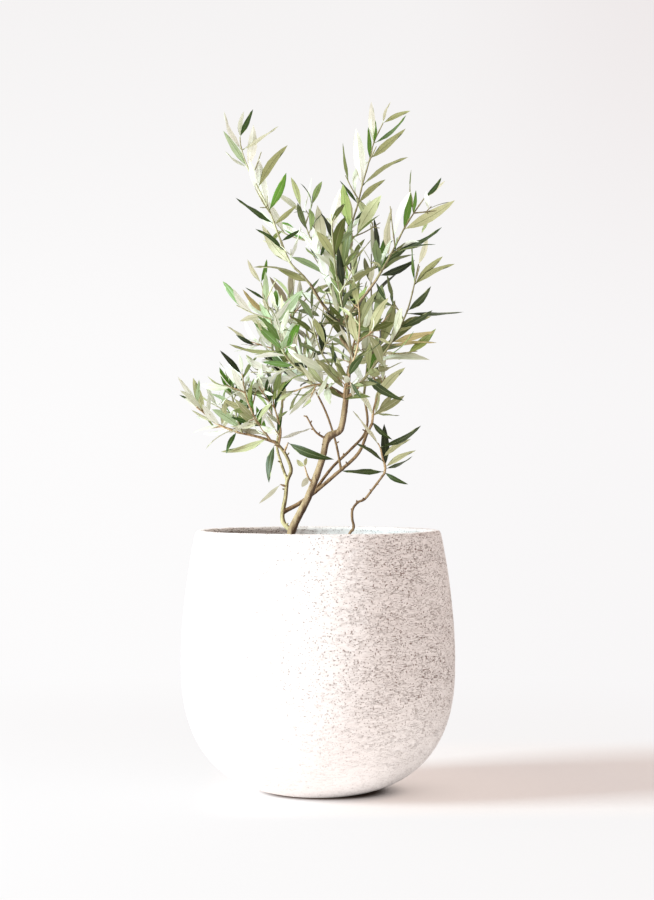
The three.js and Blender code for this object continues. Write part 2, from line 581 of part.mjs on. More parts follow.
// Pot and soil, both turned round the upright axis.
function potRadius(height) {
  if (height > WIDEST_AT) {
    return POT_RADIUS - RIM_DRAW * ((height - WIDEST_AT) / (POT_HEIGHT - WIDEST_AT)) ** RIM_DRAW_POWER;
  }
  return POT_RADIUS * (1 - ((WIDEST_AT - height) / POT_RADIUS) ** BELLY_POWER) ** (1 / BELLY_POWER);
}

function turned(profile, segments) {
  const points = profile.map(([radius, height]) => new THREE.Vector2(radius, height));
  return new THREE.LatheGeometry(points, segments).rotateX(Math.PI / 2);
}

// Heights from low to high, close together near the foot, where the wall turns in fast.
function heights(low, high, count) {
  const at = (i) => low + (high - low) * (i / count) ** FOOT_CROWDING;
  return Array.from({ length: count + 1 }, (_, i) => at(i));
}

const innerRadius = (height) => potRadius(height) - POT_WALL;
const rimTop = POT_HEIGHT - POT_LIP;
const soilEdge = SOIL_TOP - SOIL_EDGE_DROP;
const soilHeights = heights(POT_FLOOR, soilEdge, INNER_STEPS);
const outerHeights = heights(0, rimTop, OUTER_STEPS);
const potProfile = [[0, 0], ...outerHeights.map((height) => [potRadius(height), height]),
  ...[45, 90].map((turn) => [potRadius(POT_HEIGHT) - POT_LIP * (1 - Math.cos(rad(turn))),
    rimTop + POT_LIP * Math.sin(rad(turn))]),
  ...[90, 45].map((turn) => [potRadius(POT_HEIGHT) - POT_WALL + POT_LIP * (1 - Math.cos(rad(turn))),
    rimTop + POT_LIP * Math.sin(rad(turn))]),
  ...[...soilHeights, rimTop].reverse().map((height) => [innerRadius(height), height]), [0, POT_FLOOR]];
const soilProfile = [[0, POT_FLOOR + CLEAR],
  ...soilHeights.map((height) => [innerRadius(height) - 2 * CLEAR, Math.max(height, POT_FLOOR + CLEAR)]),
  [innerRadius(SOIL_TOP) - SOIL_EDGE_WIDTH, SOIL_TOP], [0, SOIL_TOP]];

// The whole plant in its pot.
const finish = (color, roughness) => new THREE.MeshStandardMaterial({ color, roughness, metalness: 0 });
const cement = finish(0xe9e3de, 0.92);
const earth = finish(0x4a3a2c, 0.97);
const bark = finish(0x9a8262, 0.85);
const foliage = finish(0x8b9a72, 0.62);
const tree = new THREE.Group();

function add(name, geometry, material) {
  const mesh = new THREE.Mesh(geometry, material);
  mesh.name = name;
  tree.add(mesh);
}

add('pot', turned(potProfile, POT_SEGMENTS), cement);
add('soil', turned(soilProfile, POT_SEGMENTS / 2), earth);
Object.keys(LIMBS).forEach(makeLimb);
Object.keys(MASSES).forEach(startMass);
Object.keys(MASSES).forEach(growSideTwigs);
Object.keys(MASSES).forEach(growOuterLeaves);
Object.keys(MASSES).forEach(growRuledLeaves);
Object.keys(LIMBS).forEach((name) => add(name, toGeometry(limbs[name].solid), bark));
Object.keys(MASSES).forEach((name) => add(name, toGeometry(massSolid(name)), foliage));

export default tree;
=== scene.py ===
import json
import math
from collections import namedtuple

import bpy
import numpy as np
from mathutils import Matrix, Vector

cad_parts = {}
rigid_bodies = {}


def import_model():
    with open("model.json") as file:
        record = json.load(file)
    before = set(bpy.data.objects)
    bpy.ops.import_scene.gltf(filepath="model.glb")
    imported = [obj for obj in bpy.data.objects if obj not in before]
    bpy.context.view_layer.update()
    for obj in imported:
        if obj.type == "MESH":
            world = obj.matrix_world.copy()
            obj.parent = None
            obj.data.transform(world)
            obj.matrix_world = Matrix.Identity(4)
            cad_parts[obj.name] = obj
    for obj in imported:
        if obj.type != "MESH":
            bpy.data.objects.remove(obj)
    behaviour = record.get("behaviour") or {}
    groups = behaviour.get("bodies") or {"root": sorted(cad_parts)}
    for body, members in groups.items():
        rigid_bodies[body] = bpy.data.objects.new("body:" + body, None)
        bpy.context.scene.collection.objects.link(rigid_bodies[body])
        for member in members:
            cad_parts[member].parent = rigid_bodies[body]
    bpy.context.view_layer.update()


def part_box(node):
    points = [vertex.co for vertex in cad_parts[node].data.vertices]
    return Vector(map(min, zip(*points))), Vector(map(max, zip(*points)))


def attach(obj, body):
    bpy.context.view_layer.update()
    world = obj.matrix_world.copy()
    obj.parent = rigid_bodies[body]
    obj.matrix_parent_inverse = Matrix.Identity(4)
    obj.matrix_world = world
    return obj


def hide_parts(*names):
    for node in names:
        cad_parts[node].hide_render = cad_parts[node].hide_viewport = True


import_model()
scene = bpy.context.scene
MM = 0.001

# Camera. It looks level along +Y at about half the plant's height, with a long lens, so that the rim
# is seen almost edge on. In the plane of the pot's middle one pixel is 1.25 mm, and the photograph's
# frame is 900 pixels high.
PIXEL = 1.25 * MM
FRAME_HEIGHT_PX = 900
CAMERA_AWAY = 2.864
CAMERA_RIGHT = 0.011
CAMERA_HEIGHT = 0.426
SENSOR = 36


def placed(name, data):
    """A new object in the scene."""
    thing = bpy.data.objects.new(name, data)
    scene.collection.objects.link(thing)
    return thing


camera = placed("camera", bpy.data.cameras.new("camera"))
camera.data.sensor_width = SENSOR
camera.data.lens = SENSOR * CAMERA_AWAY / (FRAME_HEIGHT_PX * PIXEL)
camera.location = (CAMERA_RIGHT, -CAMERA_AWAY, CAMERA_HEIGHT)
camera.rotation_euler = (math.pi / 2, 0, 0)
scene.camera = camera

# Pot. It is a thick-walled pot of light fibre cement, cast and then rubbed with a wet white
# plaster, which leaves short level drag marks and small pits. The wall bellies out above a narrow
# flat foot and draws in again to a rounded, slightly uneven lip.
_, pot_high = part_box("pot")
POT_HEIGHT = pot_high.z
POT_RADIUS = pot_high.x
WIDEST_AT = 167 * MM
BELLY_POWER = 2.6
RIM_DRAW = 18.5 * MM
RIM_DRAW_POWER = 1.8
POT_WALL = 13.5 * MM
POT_FLOOR = 24 * MM
POT_LIP = 4 * MM
POT_AROUND = 300
POT_ROWS = 285
FOOT_RINGS = (0.3, 0.6, 0.85)
WALL_STEPS = 80
WALL_CROWDING = 1.7
LIP_STEPS = 5
LIP_FROM = 0.3
INSIDE_STEPS = 30
SEEN_INSIDE = 45 * MM
SEEN_INSIDE_ROWS = 18
HIDDEN_EVERY = 3


def pot_radius(height):
    if height > WIDEST_AT:
        risen = (height - WIDEST_AT) / (POT_HEIGHT - WIDEST_AT)
        return POT_RADIUS - RIM_DRAW * risen ** RIM_DRAW_POWER
    fallen = (WIDEST_AT - height) / POT_RADIUS
    return POT_RADIUS * (1 - fallen ** BELLY_POWER) ** (1 / BELLY_POWER)


def way_along(places):
    """How far along a line each of its places is."""
    return np.concatenate([[0], np.cumsum(np.linalg.norm(np.diff(places, axis=0), axis=1))])


def at_ways(places, way, wanted):
    """The places on a line that are so far along it."""
    return np.stack([np.interp(wanted, way, column) for column in places.T], axis=-1)


def evenly(points, count):
    """Points the same way apart along an outline."""
    points = np.array(points)
    way = way_along(points)
    return at_ways(points, way, np.linspace(0, way[-1], count))


def pot_outline():
    """The pot's half section, from the middle of its foot over the lip to the middle of its floor."""
    rim = POT_HEIGHT - POT_LIP
    outer_lip = pot_radius(POT_HEIGHT)
    inner_lip = outer_lip - POT_WALL
    heights = [rim * (k / WALL_STEPS) ** WALL_CROWDING for k in range(WALL_STEPS + 1)]
    wall = [(pot_radius(height), height) for height in heights]
    lip = [(outer_lip - POT_LIP * (1 - math.cos(turn)), rim + POT_LIP * math.sin(turn))
           for turn in np.linspace(LIP_FROM, math.pi / 2, LIP_STEPS)]
    lip += [(inner_lip + POT_LIP * (1 - math.cos(turn)), rim + POT_LIP * math.sin(turn))
            for turn in np.linspace(math.pi / 2, 0, LIP_STEPS)]
    inside = [(pot_radius(height) - POT_WALL, height)
              for height in np.linspace(rim, POT_FLOOR, INSIDE_STEPS)]
    seen = [point for point in inside if point[1] > rim - SEEN_INSIDE]
    foot = [(wall[0][0] * share, 0) for share in FOOT_RINGS]
    return np.vstack([[(0, 0)], foot, evenly(wall, POT_ROWS), lip, evenly(seen, SEEN_INSIDE_ROWS)[1:],
                      inside[len(seen)::HIDDEN_EVERY], [(0, POT_FLOOR)]])


def mesh_of(name, corners, faces=()):
    mesh = bpy.data.meshes.new(name)
    mesh.from_pydata(corners, [], faces)
    return mesh


def turned(name, outline, around):
    """A shape turned round the upright axis. The outline starts and ends on the axis, as (radius,
    height) pairs that run up the outside and down the inside."""
    turn = np.arange(around) * 2 * math.pi / around
    radius, height = outline[1:-1, :1], outline[1:-1, 1:]
    rings = np.stack([radius * np.cos(turn), radius * np.sin(turn), np.repeat(height, around, axis=1)],
                     axis=2).reshape(-1, 3)
    first, last, top = len(rings), len(rings) + 1, len(rings) - around
    corners = np.vstack([rings, [0, 0, outline[0, 1]], [0, 0, outline[-1, 1]]])
    pairs = [(k, (k + 1) % around) for k in range(around)]
    faces = [(row + k, row + after, row + around + after, row + around + k)
             for row in range(0, top, around) for k, after in pairs]
    for k, after in pairs:
        faces += [(first, after, k), (last, top + k, top + after)]
    return placed(name, mesh_of(name, corners.tolist(), faces))


class Flow:
    """What a node gives out. It can be reckoned with like a number."""

    def __init__(self, tree, socket):
        self.tree, self.socket = tree, socket

    def into(self, node, key):
        self.tree.links.new(self.socket, node.inputs[key])

    def reckoned(self, operation, first, second=0.0):
        return flow(self.tree, "ShaderNodeMath", {0: first, 1: second}, operation=operation)

    def __add__(self, other):
        return self.reckoned("ADD", self, other)

    def __sub__(self, other):
        return self.reckoned("SUBTRACT", self, other)

    def __rsub__(self, other):
        return self.reckoned("SUBTRACT", other, self)

    def __mul__(self, other):
        return self.reckoned("MULTIPLY", self, other)

    def __abs__(self):
        return self.reckoned("ABSOLUTE", self)

    def or_more(self, other):
        return self.reckoned("MAXIMUM", self, other)

    def part(self, axis):
        """One coordinate of a place or direction."""
        return flow(self.tree, "ShaderNodeSeparateXYZ", {0: self}, axis)

    def vector(self, operation, second=(0, 0, 0), output=0):
        return flow(self.tree, "ShaderNodeVectorMath", {0: self, 1: second}, output, operation=operation)

    def between(self, low, high, out_low=0.0, out_high=1.0):
        """How far this has gone from low to high, smoothly, between two results."""
        return flow(self.tree, "ShaderNodeMapRange", {0: self, 1: low, 2: high, 3: out_low, 4: out_high},
                    interpolation_type="SMOOTHSTEP")

    def noise(self, scale, detail=2.0, roughness=0.5, stretch=None):
        """A noise on this place, which stretch squeezes along each axis first."""
        place = self.vector("MULTIPLY", stretch) if stretch else self
        return flow(self.tree, "ShaderNodeTexNoise", {"Vector": place, "Scale": scale, "Detail": detail,
                                                      "Roughness": roughness})

    def mix(self, a, b):
        """The colour that is this share of the way from a to b."""
        return flow(self.tree, "ShaderNodeMix", {0: self, 6: a, 7: b}, 2, data_type="RGBA")


def flow(tree, kind, links=None, output=0, **settings):
    """A new node's output. The node has its settings, and a value or a flow in each named socket."""
    node = tree.nodes.new(kind)
    for key, value in settings.items():
        setattr(node, key, value)
    for key, value in (links or {}).items():
        if isinstance(value, Flow):
            value.into(node, key)
        else:
            is_color = node.inputs[key].type == "RGBA"
            node.inputs[key].default_value = (*value, 1) if is_color else value
    return Flow(tree, node.outputs[output])


def rule_tree(name, **inputs):
    """A Geometry Nodes tree with a geometry in and out, and the named inputs after it."""
    tree = bpy.data.node_groups.new(name, "GeometryNodeTree")
    for label, kind in {"Geometry": "Geometry", **inputs}.items():
        tree.interface.new_socket(label, in_out="INPUT", socket_type="NodeSocket" + kind)
    tree.interface.new_socket("Geometry", in_out="OUTPUT", socket_type="NodeSocketGeometry")
    outputs = tree.nodes.new("NodeGroupInput").outputs
    given = {label: Flow(tree, outputs[label]) for label in ("Geometry", *inputs)}
    return tree, given, tree.nodes.new("NodeGroupOutput")


def pushed(skin, rise):
    """A skin moved out along its normals, and shaded smooth."""
    normal = flow(skin.tree, "GeometryNodeInputNormal")
    offset = flow(skin.tree, "ShaderNodeVectorMath", {0: normal, "Scale": rise}, operation="SCALE")
    moved = flow(skin.tree, "GeometryNodeSetPosition", {"Geometry": skin, "Offset": offset})
    return flow(skin.tree, "GeometryNodeSetShadeSmooth", {"Geometry": moved})


def painted(geometry, material, **selection):
    return flow(geometry.tree, "GeometryNodeSetMaterial",
                {"Geometry": geometry, "Material": material, **selection})


def realized(geometry):
    return flow(geometry.tree, "GeometryNodeRealizeInstances", {"Geometry": geometry})


def made_by_rule(source, tree, **values):
    """A plain mesh object of what the tree makes of the source, which it takes the place of."""
    modifier = source.modifiers.new("rule", "NODES")
    modifier.node_group = tree
    for item in tree.interface.items_tree:
        if item.in_out == "INPUT" and item.name.lower() in values:
            modifier[item.identifier] = values[item.name.lower()]
    graph = bpy.context.evaluated_depsgraph_get()
    mesh = bpy.data.meshes.new_from_object(source.evaluated_get(graph))
    name = source.name
    bpy.data.objects.remove(source)
    mesh.name = name
    return placed(name, mesh)


def plain_material(name, color, roughness, gloss=0.5):
    """A material of one colour, with the place on the object that its colours can go by."""
    material = bpy.data.materials.new(name)
    material.use_nodes = True
    shader = material.node_tree.nodes["Principled BSDF"]
    shader.inputs["Base Color"].default_value = (*color, 1)
    shader.inputs["Roughness"].default_value = roughness
    shader.inputs["Specular IOR Level"].default_value = gloss
    return material, shader, flow(material.node_tree, "ShaderNodeTexCoord", output="Object")


def bumped(shader, height, distance, strength):
    bump = {"Strength": strength, "Distance": distance, "Height": height}
    flow(height.tree, "ShaderNodeBump", bump).into(shader, "Normal")


# A noise is (scale, detail, roughness, squeeze along each axis), without the last ones where they
# are the usual ones. Levels say from where to where it turns from one result to the other.
LUMP_NOISE = (11.0, 2.0)
DRAG_RELIEF_NOISE, DRAG_RELIEF_LEVELS = (115.0, 3.0, 0.55, (1, 1, 3.6)), (0.50, 0.70)
GRAIN_NOISE = (260.0, 2.0)
NOISE_MIDDLE = 0.5
FLAT_FOOT = (0.5 * MM, 6 * MM)


def relief_rule():
    """Pushes the skin in along its normals: broad unevenness, level drag marks and a fine grain."""
    tree, given, result = rule_tree("cement_relief", Lump="Float", Drag="Float", Grain="Float",
                                    Cement="Material")
    place = flow(tree, "GeometryNodeInputPosition")
    lump = place.noise(*LUMP_NOISE) - NOISE_MIDDLE
    drag = place.noise(*DRAG_RELIEF_NOISE).between(*DRAG_RELIEF_LEVELS)
    grain = place.noise(*GRAIN_NOISE) - NOISE_MIDDLE
    depth = lump * given["Lump"] + drag * given["Drag"] + grain * given["Grain"]
    depth = depth * place.part(2).between(*FLAT_FOOT)
    skin = pushed(given["Geometry"], depth * -1)
    painted(realized(skin), given["Cement"]).into(result, "Geometry")
    return tree


# The dark marks are drags, dashes and pits, dark with dust and with their painted shadow. They are
# painted fainter on the lit side, where strong light would hide them, and grow denser round the
# shaded side and up from the foot. Long level drags, short dashes and round pits are each the part of
# a noise above a level. The lit side of the outer wall is painted a little darker, to hold back its
# highlight. The shaded side is painted grey as shade, in soft clouds, least so in a band low on the
# pot that is painted lighter, as light from the floor falls there.
WHITE_PLASTER = (0.90, 0.875, 0.86)
OLD_PLASTER = (0.84, 0.805, 0.785)
LIT_PLASTER = (0.79, 0.745, 0.735)
PAINTED_SHADE_PLASTER = (0.745, 0.70, 0.68)
PIT_SHADE = (0.20, 0.13, 0.105)
OUTSIDE = (-20 * MM, 20 * MM)
SHADED_MARKS_SIDE = (-0.25, 0.70)
MARKS_ON_LIT_SIDE = 0.15
PITS_ON_LIT_SIDE = 0.55
DRAGGED_SIDE = (0.1, 0.6, 0.25, 1.0)
PAINTED_SHADE_SIDE = (0.15, 0.55)
MARKS_UP_FROM_FOOT = (10 * MM, 180 * MM, 0.25, 1.0)
FLOOR_LIT_BAND_AT = 75 * MM
FLOOR_LIT_BAND = (0.0, 85 * MM, 0.35, 1.0)
PATCHES = ((34.0, 3.0, 0.5, (1, 1, 3)), (0.38, 0.58, 0.25, 1.0))
DRAGS = ((165.0, 3.0, 0.55, (1, 1, 9)), (0.58, 0.60))
DASHES = ((360.0, 2.0, 0.5, (1, 1, 4.2)), (0.635, 0.66))
PITS = ((540.0, 0.0), (0.69, 0.73))
CLOUDS = ((16.0, 3.0, 0.6, (1, 1, 2.5)), (0.36, 0.64, 0.7, 1.0))
PLASTER_NOISE = (38.0, 3.0)
ROUGH_NOISE = (420.0, 3.0, 0.6, (1, 1, 3.5))
CEMENT_BUMP = (0.9 * MM, 1.0)


def cement_material():
    material, shader, place = plain_material("white_cement", WHITE_PLASTER, roughness=0.93, gloss=0.25)
    normal = flow(place.tree, "ShaderNodeTexCoord", output="Normal")
    outside = normal.vector("DOT_PRODUCT", place, 1).between(*OUTSIDE)
    across, height = normal.part(0), place.part(2)
    patch, drag, dash, pit, cloud = [place.noise(*noise).between(*levels)
                                     for noise, levels in (PATCHES, DRAGS, DASHES, PITS, CLOUDS)]
    # The marks and their painted shadow are painted fainter towards the lit side, as strong light would
    # hide them there.
    toward_shade = across.between(*SHADED_MARKS_SIDE, MARKS_ON_LIT_SIDE, 1.0)
    off_foot = height.between(*MARKS_UP_FROM_FOOT)
    marks_shown = toward_shade * off_foot * patch
    pitted = across.between(*SHADED_MARKS_SIDE, PITS_ON_LIT_SIDE, 1.0) * off_foot
    marks = (drag * (marks_shown * across.between(*DRAGGED_SIDE))).or_more((dash * marks_shown).or_more(pit * pitted))
    plaster = place.noise(*PLASTER_NOISE).mix(WHITE_PLASTER, OLD_PLASTER)
    # The lit side of the outer wall is painted a little darker than the plaster, to hold back its
    # highlight.
    skin = toward_shade.mix(outside.mix(WHITE_PLASTER, LIT_PLASTER), plaster)
    # Painted shade: the shaded outer wall is greyed in clouds, least so in a band low on the pot that is
    # painted lighter, as light from the floor falls there.
    shade_by_height = abs(height - FLOOR_LIT_BAND_AT).between(*FLOOR_LIT_BAND)
    grey = across.between(*PAINTED_SHADE_SIDE) * cloud * shade_by_height * outside
    marks.mix(grey.mix(skin, PAINTED_SHADE_PLASTER), PIT_SHADE).into(shader, "Base Color")
    bumped(shader, place.noise(*ROUGH_NOISE) - marks, *CEMENT_BUMP)
    return material


pot = made_by_rule(turned("cement_pot", pot_outline(), POT_AROUND), relief_rule(), lump=1.1 * MM,
                   drag=1.3 * MM, grain=0.6 * MM, cement=cement_material())
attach(pot, "root")
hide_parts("pot")

# Soil. A dark, bark-based potting mix fills the pot to about 35 mm under the rim. Its surface is
# loose and a little uneven, with crumbs of bark and soil lying on it.
_, soil_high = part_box("soil")
SOIL_TOP = soil_high.z
SOIL_GAP = 0.6 * MM
SOIL_FOOT = POT_FLOOR + 0.3 * MM
SOIL_EDGE_DROP = 4 * MM
SOIL_SHOULDER = 16 * MM
SOIL_SIDE_STEPS = 12
SOIL_TOP_STEPS = 36
SOIL_AROUND = 96
SOIL_WAVES, WAVE_MIDDLE = (60.0, 3.0), 0.55
ON_TOP = (SOIL_TOP - 1 * MM, SOIL_TOP)
FACES_UP = 0.7
CRUMBS_PER_M2 = 42000.0
CRUMB_SIZES = ((0.6 * MM, 0.6 * MM, 0.4 * MM), (3.4 * MM, 2.2 * MM, 1.5 * MM), 4)
CRUMB_TURNS = ((-0.6, -0.6, 0), (0.6, 0.6, 6.28), 9)
DARK_SOIL = (0.055, 0.037, 0.025)
DRY_SOIL = (0.13, 0.09, 0.06)
DRY_BARK = (0.20, 0.13, 0.08)
SOIL_SPOTS, SOIL_SPOT_LEVELS = (170.0, 4.0), (0.4, 0.65)
SOIL_GRAIN, SOIL_BUMP = (420.0, 4.0), (1.5 * MM, 0.8)


def soil_outline():
    side = [(pot_radius(height) - POT_WALL - SOIL_GAP, height)
            for height in np.linspace(SOIL_FOOT, SOIL_TOP - SOIL_EDGE_DROP, SOIL_SIDE_STEPS)]
    reach = pot_radius(SOIL_TOP) - POT_WALL - SOIL_SHOULDER
    top = [(reach * share, SOIL_TOP) for share in np.linspace(1, 0, SOIL_TOP_STEPS)[:-1]]
    return np.array([(0, SOIL_FOOT), *side, *top, (0, SOIL_TOP)])


def soil_material(name, dark, dry):
    material, shader, place = plain_material(name, dark, roughness=0.96)
    place.noise(*SOIL_SPOTS).between(*SOIL_SPOT_LEVELS).mix(dark, dry).into(shader, "Base Color")
    bumped(shader, place.noise(*SOIL_GRAIN), *SOIL_BUMP)
    return material


def soil_rule():
    """An uneven bed, and crumbs of a few faces scattered over the part of it that faces up."""
    tree, given, result = rule_tree("loose_soil", Unevenness="Float", Crumbs="Float", Seed="Int",
                                    Soil="Material", Crumb="Material")
    place = flow(tree, "GeometryNodeInputPosition")
    wave = place.noise(*SOIL_WAVES) - WAVE_MIDDLE
    lift = wave * given["Unevenness"] * place.part(2).between(*ON_TOP)
    offset = flow(tree, "ShaderNodeCombineXYZ", {2: lift})
    bed = flow(tree, "GeometryNodeSetPosition", {"Geometry": given["Geometry"], "Offset": offset})
    upright = flow(tree, "GeometryNodeInputNormal").part(2)
    faces_up = flow(tree, "FunctionNodeCompare", {0: upright, 1: FACES_UP}, operation="GREATER_THAN")
    spots = flow(tree, "GeometryNodeDistributePointsOnFaces",
                 {"Mesh": bed, "Selection": faces_up, "Density": given["Crumbs"], "Seed": given["Seed"]})
    size, turn = [flow(tree, "FunctionNodeRandomValue", {"Min": least, "Max": most, "Seed": seed},
                       data_type="FLOAT_VECTOR") for least, most, seed in (CRUMB_SIZES, CRUMB_TURNS)]
    crumbs = flow(tree, "GeometryNodeInstanceOnPoints",
                  {"Points": spots, "Scale": size,
                   "Instance": flow(tree, "GeometryNodeMeshIcoSphere", {"Radius": 1.0, "Subdivisions": 1}),
                   "Rotation": flow(tree, "FunctionNodeEulerToRotation", {0: turn})})
    smooth = flow(tree, "GeometryNodeSetShadeSmooth", {"Geometry": bed})
    both = tree.nodes.new("GeometryNodeJoinGeometry")
    for part in (painted(smooth, given["Soil"]), painted(realized(crumbs), given["Crumb"])):
        part.into(both, 0)
    Flow(tree, both.outputs[0]).into(result, "Geometry")
    return tree


soil = made_by_rule(turned("potting_soil", soil_outline(), SOIL_AROUND), soil_rule(),
                    unevenness=4 * MM, crumbs=CRUMBS_PER_M2, seed=5,
                    soil=soil_material("potting_mix", DARK_SOIL, DRY_SOIL),
                    crumb=soil_material("bark_crumbs", DRY_SOIL, DRY_BARK))
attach(soil, "root")
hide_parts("soil")

# Trunk and boughs. A young olive's bark is thin, smooth and cream to tan, with faint streaks, small
# warts and a slight swelling at every old pair of leaves. The trunk flares where it leaves the
# soil and has one knot, and each bough is a tapering limb with a collar where it leaves another.
RING_STEP = 1.6
LIMB_TAPER_POWER = 0.85
UNDER_SOIL = 4
FLARE_REACH = 14
KNOT_SWELLING = 1.3
KNOT_REACH = 7
COLLAR_SWELLING = 0.22
COLLAR_REACH = 5
BARK_NODE_STEP = 23
BARK_NODE_SHIFT = 7
BARK_NODE_SWELLING = 0.06
BARK_NODE_REACH = 2.2
LINE_STEPS = 200
LEAST_SPAN = 1e-6

# Lengths are in millimetres from here to the leaves. A limb is where it starts, its first and last
# radius and its legs. It starts at a (right, back) place in the soil, or at a part of another limb's
# length. A leg is (length seen from the front, lean to the right, swing to the back) in degrees.
LIMBS = {
    "trunk": ((-34, 0), (5.2, 3.6), ((34, 0, 0), (52, 25, -4), (51, 20, -2), (23, 13, 0), (6, 36, 2),
        (14, 63, 4), (11, 20, 4), (39, 8, 2))),
    "left_stem": (("trunk", 0.165), (3.0, 2.0), ((13, -48, 26), (9, -15, 16), (25, 9, 8), (20, 6, 4),
        (14, 20, 0), (13, -14, -4), (14, -28, -8), (14, -41, -12))),
    "left_rear_bough": (("left_stem", 0.56), (1.9, 1.3), ((25, -20, 34), (21, -14, 20), (25, 9, 10),
        (25, 6, 5))),
    "left_outer_bough": (("left_stem", 1), (1.9, 1.4), ((27, -73, -8), (22, -78, -4))),
    "cross_bough": (("left_stem", 0.24), (2.8, 1.8), ((27, 62, 16), (55, 51, 5), (39, 47, 4),
        (28, 24, 0), (14, 27, 0))),
    "rear_cross_bough": (("cross_bough", 0.27), (2.1, 1.4), ((42, 37, 25), (31, 46, 14), (28, 42, 8),
        (17, 13, 0), (34, -8, 0))),
    "inner_bough": (("cross_bough", 0.56), (1.5, 1.2), ((36, -11, 22), (39, -18, 20), (40, -26, 16))),
    "knot_twig": (("trunk", 0.7), (1.5, 1.0), ((16, -58, -22), (24, -31, -14))),
    "left_crown_bough": (("trunk", 0.97), (2.6, 1.8), ((31, -58, -18), (19, -57, -20))),
    "right_crown_bough": (("trunk", 0.96), (2.4, 1.7), ((14, 48, -14), (16, 38, -14))),
    "leader": (("trunk", 1), (3.3, 2.1), ((25, 6, 2), (18, 16, 5), (13, -22, 5), (14, -38, 10),
        (15, -14, 5), (15, -4, 2))),
    "left_leader": (("leader", 0.9), (2.1, 1.7), ((35, -39, -20), (26, -32, -16))),
    "right_leader": (("leader", 0.78), (2.2, 1.6), ((20, 22, -30), (12, 34, -26), (26, 42, -14),
        (23, 36, -8))),
    "sucker": ((31, 16), (1.8, 1.4), ((35, 14, 0), (9, 34, -4), (11, -9, -4), (12, 2, 0), (11, 36, 0),
        (9, 65, 0), (17, 39, -6), (25, 37, -4))),
}
FLARES = {"trunk": 5, "sucker": 1.2}
KNOTS = {"trunk": 0.72}
OLD_LIMBS = ("trunk", "leader", "left_leader", "right_leader")
YOUNG_LIMBS = ("left_stem", "left_rear_bough")
TAN_LIMBS = tuple(name for name in LIMBS if name not in OLD_LIMBS + YOUNG_LIMBS)

# Stubs are short dead spurs: (limb, part of its length, length, lean, swing).
STUB_RADIUS = 0.85
STUB_PROFILE = (1.5, 1.15, 1, 1, 1.05, 0.7)
STUBS = (("trunk", 0.665, 5, -70, -30), ("left_stem", 0.1, 6, 60, -40),
         ("left_stem", 0.47, 5, -80, -10), ("left_stem", 0.6, 6, -60, -30),
         ("left_stem", 0.82, 6, 35, -20), ("sucker", 0.3, 3.5, 75, -20),
         ("sucker", 0.345, 2.5, -60, -30), ("sucker", 0.5, 4, -20, -10), ("sucker", 0.585, 5, 8, -20),
         ("sucker", 0.655, 4, 20, -30), ("sucker", 0.78, 3, -40, -20), ("sucker", 0.86, 3, 80, -20),
         ("knot_twig", 0.3, 4, 20, -30), ("knot_twig", 0.52, 4, -80, -20),
         ("knot_twig", 0.74, 4, 30, -10), ("knot_twig", 0.97, 4, -75, 0),
         ("left_rear_bough", 0.28, 5, -60, -20), ("inner_bough", 0.3, 5, 60, -30),
         ("cross_bough", 0.62, 5, -20, -30), ("cross_bough", 0.8, 5, 70, -10),
         ("rear_cross_bough", 0.42, 5, 10, -10), ("rear_cross_bough", 0.7, 5, -60, -20),
         ("leader", 0.3, 5, -70, -30), ("leader", 0.55, 5, 60, -20))


def along_lean(lean, swing):
    """The direction of a stretch whose length is as seen from the front."""
    return np.array([math.sin(math.radians(lean)), math.tan(math.radians(swing)),
                     math.cos(math.radians(lean))])


def unit(vector):
    return vector / np.linalg.norm(vector)


def on_span(four, share):
    """A place on the middle span of a centripetal Catmull-Rom curve through four points."""
    p0, p1, p2, p3 = four
    before, here, after = [max(np.linalg.norm(b - a), LEAST_SPAN) ** 0.5 for a, b in zip(four, four[1:])]
    leave = ((p1 - p0) / before - (p2 - p0) / (before + here) + (p2 - p1) / here) * here
    arrive = ((p2 - p1) / here - (p3 - p1) / (here + after) + (p3 - p2) / after) * here
    return (p1 + leave * share + (3 * (p2 - p1) - 2 * leave - arrive) * share ** 2
            + (2 * (p1 - p2) + leave + arrive) * share ** 3)


def smooth_through(turns):
    """A smooth line through some points: places close together, and the way up to each."""
    turns = [2 * turns[0] - turns[1], *turns, 2 * turns[-1] - turns[-2]]
    spans = len(turns) - 3
    places = []
    for step in range(LINE_STEPS + 1):
        whole = min(int(step * spans / LINE_STEPS), spans - 1)
        places.append(on_span(turns[whole:whole + 4], step * spans / LINE_STEPS - whole))
    places = np.array(places)
    return places, way_along(places)


def route(root, legs):
    """A smooth line from a root by its legs."""
    turns = [np.array(root, float)]
    for seen, lean, swing in legs:
        turns.append(turns[-1] + seen * along_lean(lean, swing))
    return smooth_through(turns)


def at_part(line, part):
    """The places on a line at one part, or several parts, of its length."""
    places, way = line
    return at_ways(places, way, np.asarray(part) * way[-1])


limb_lines = {}
for name, (start, _, legs) in LIMBS.items():
    root = (*start, SOIL_TOP / MM - UNDER_SOIL)
    if start[0] in limb_lines:
        root = at_part(limb_lines[start[0]], start[1])
    limb_lines[name] = route(root, legs)


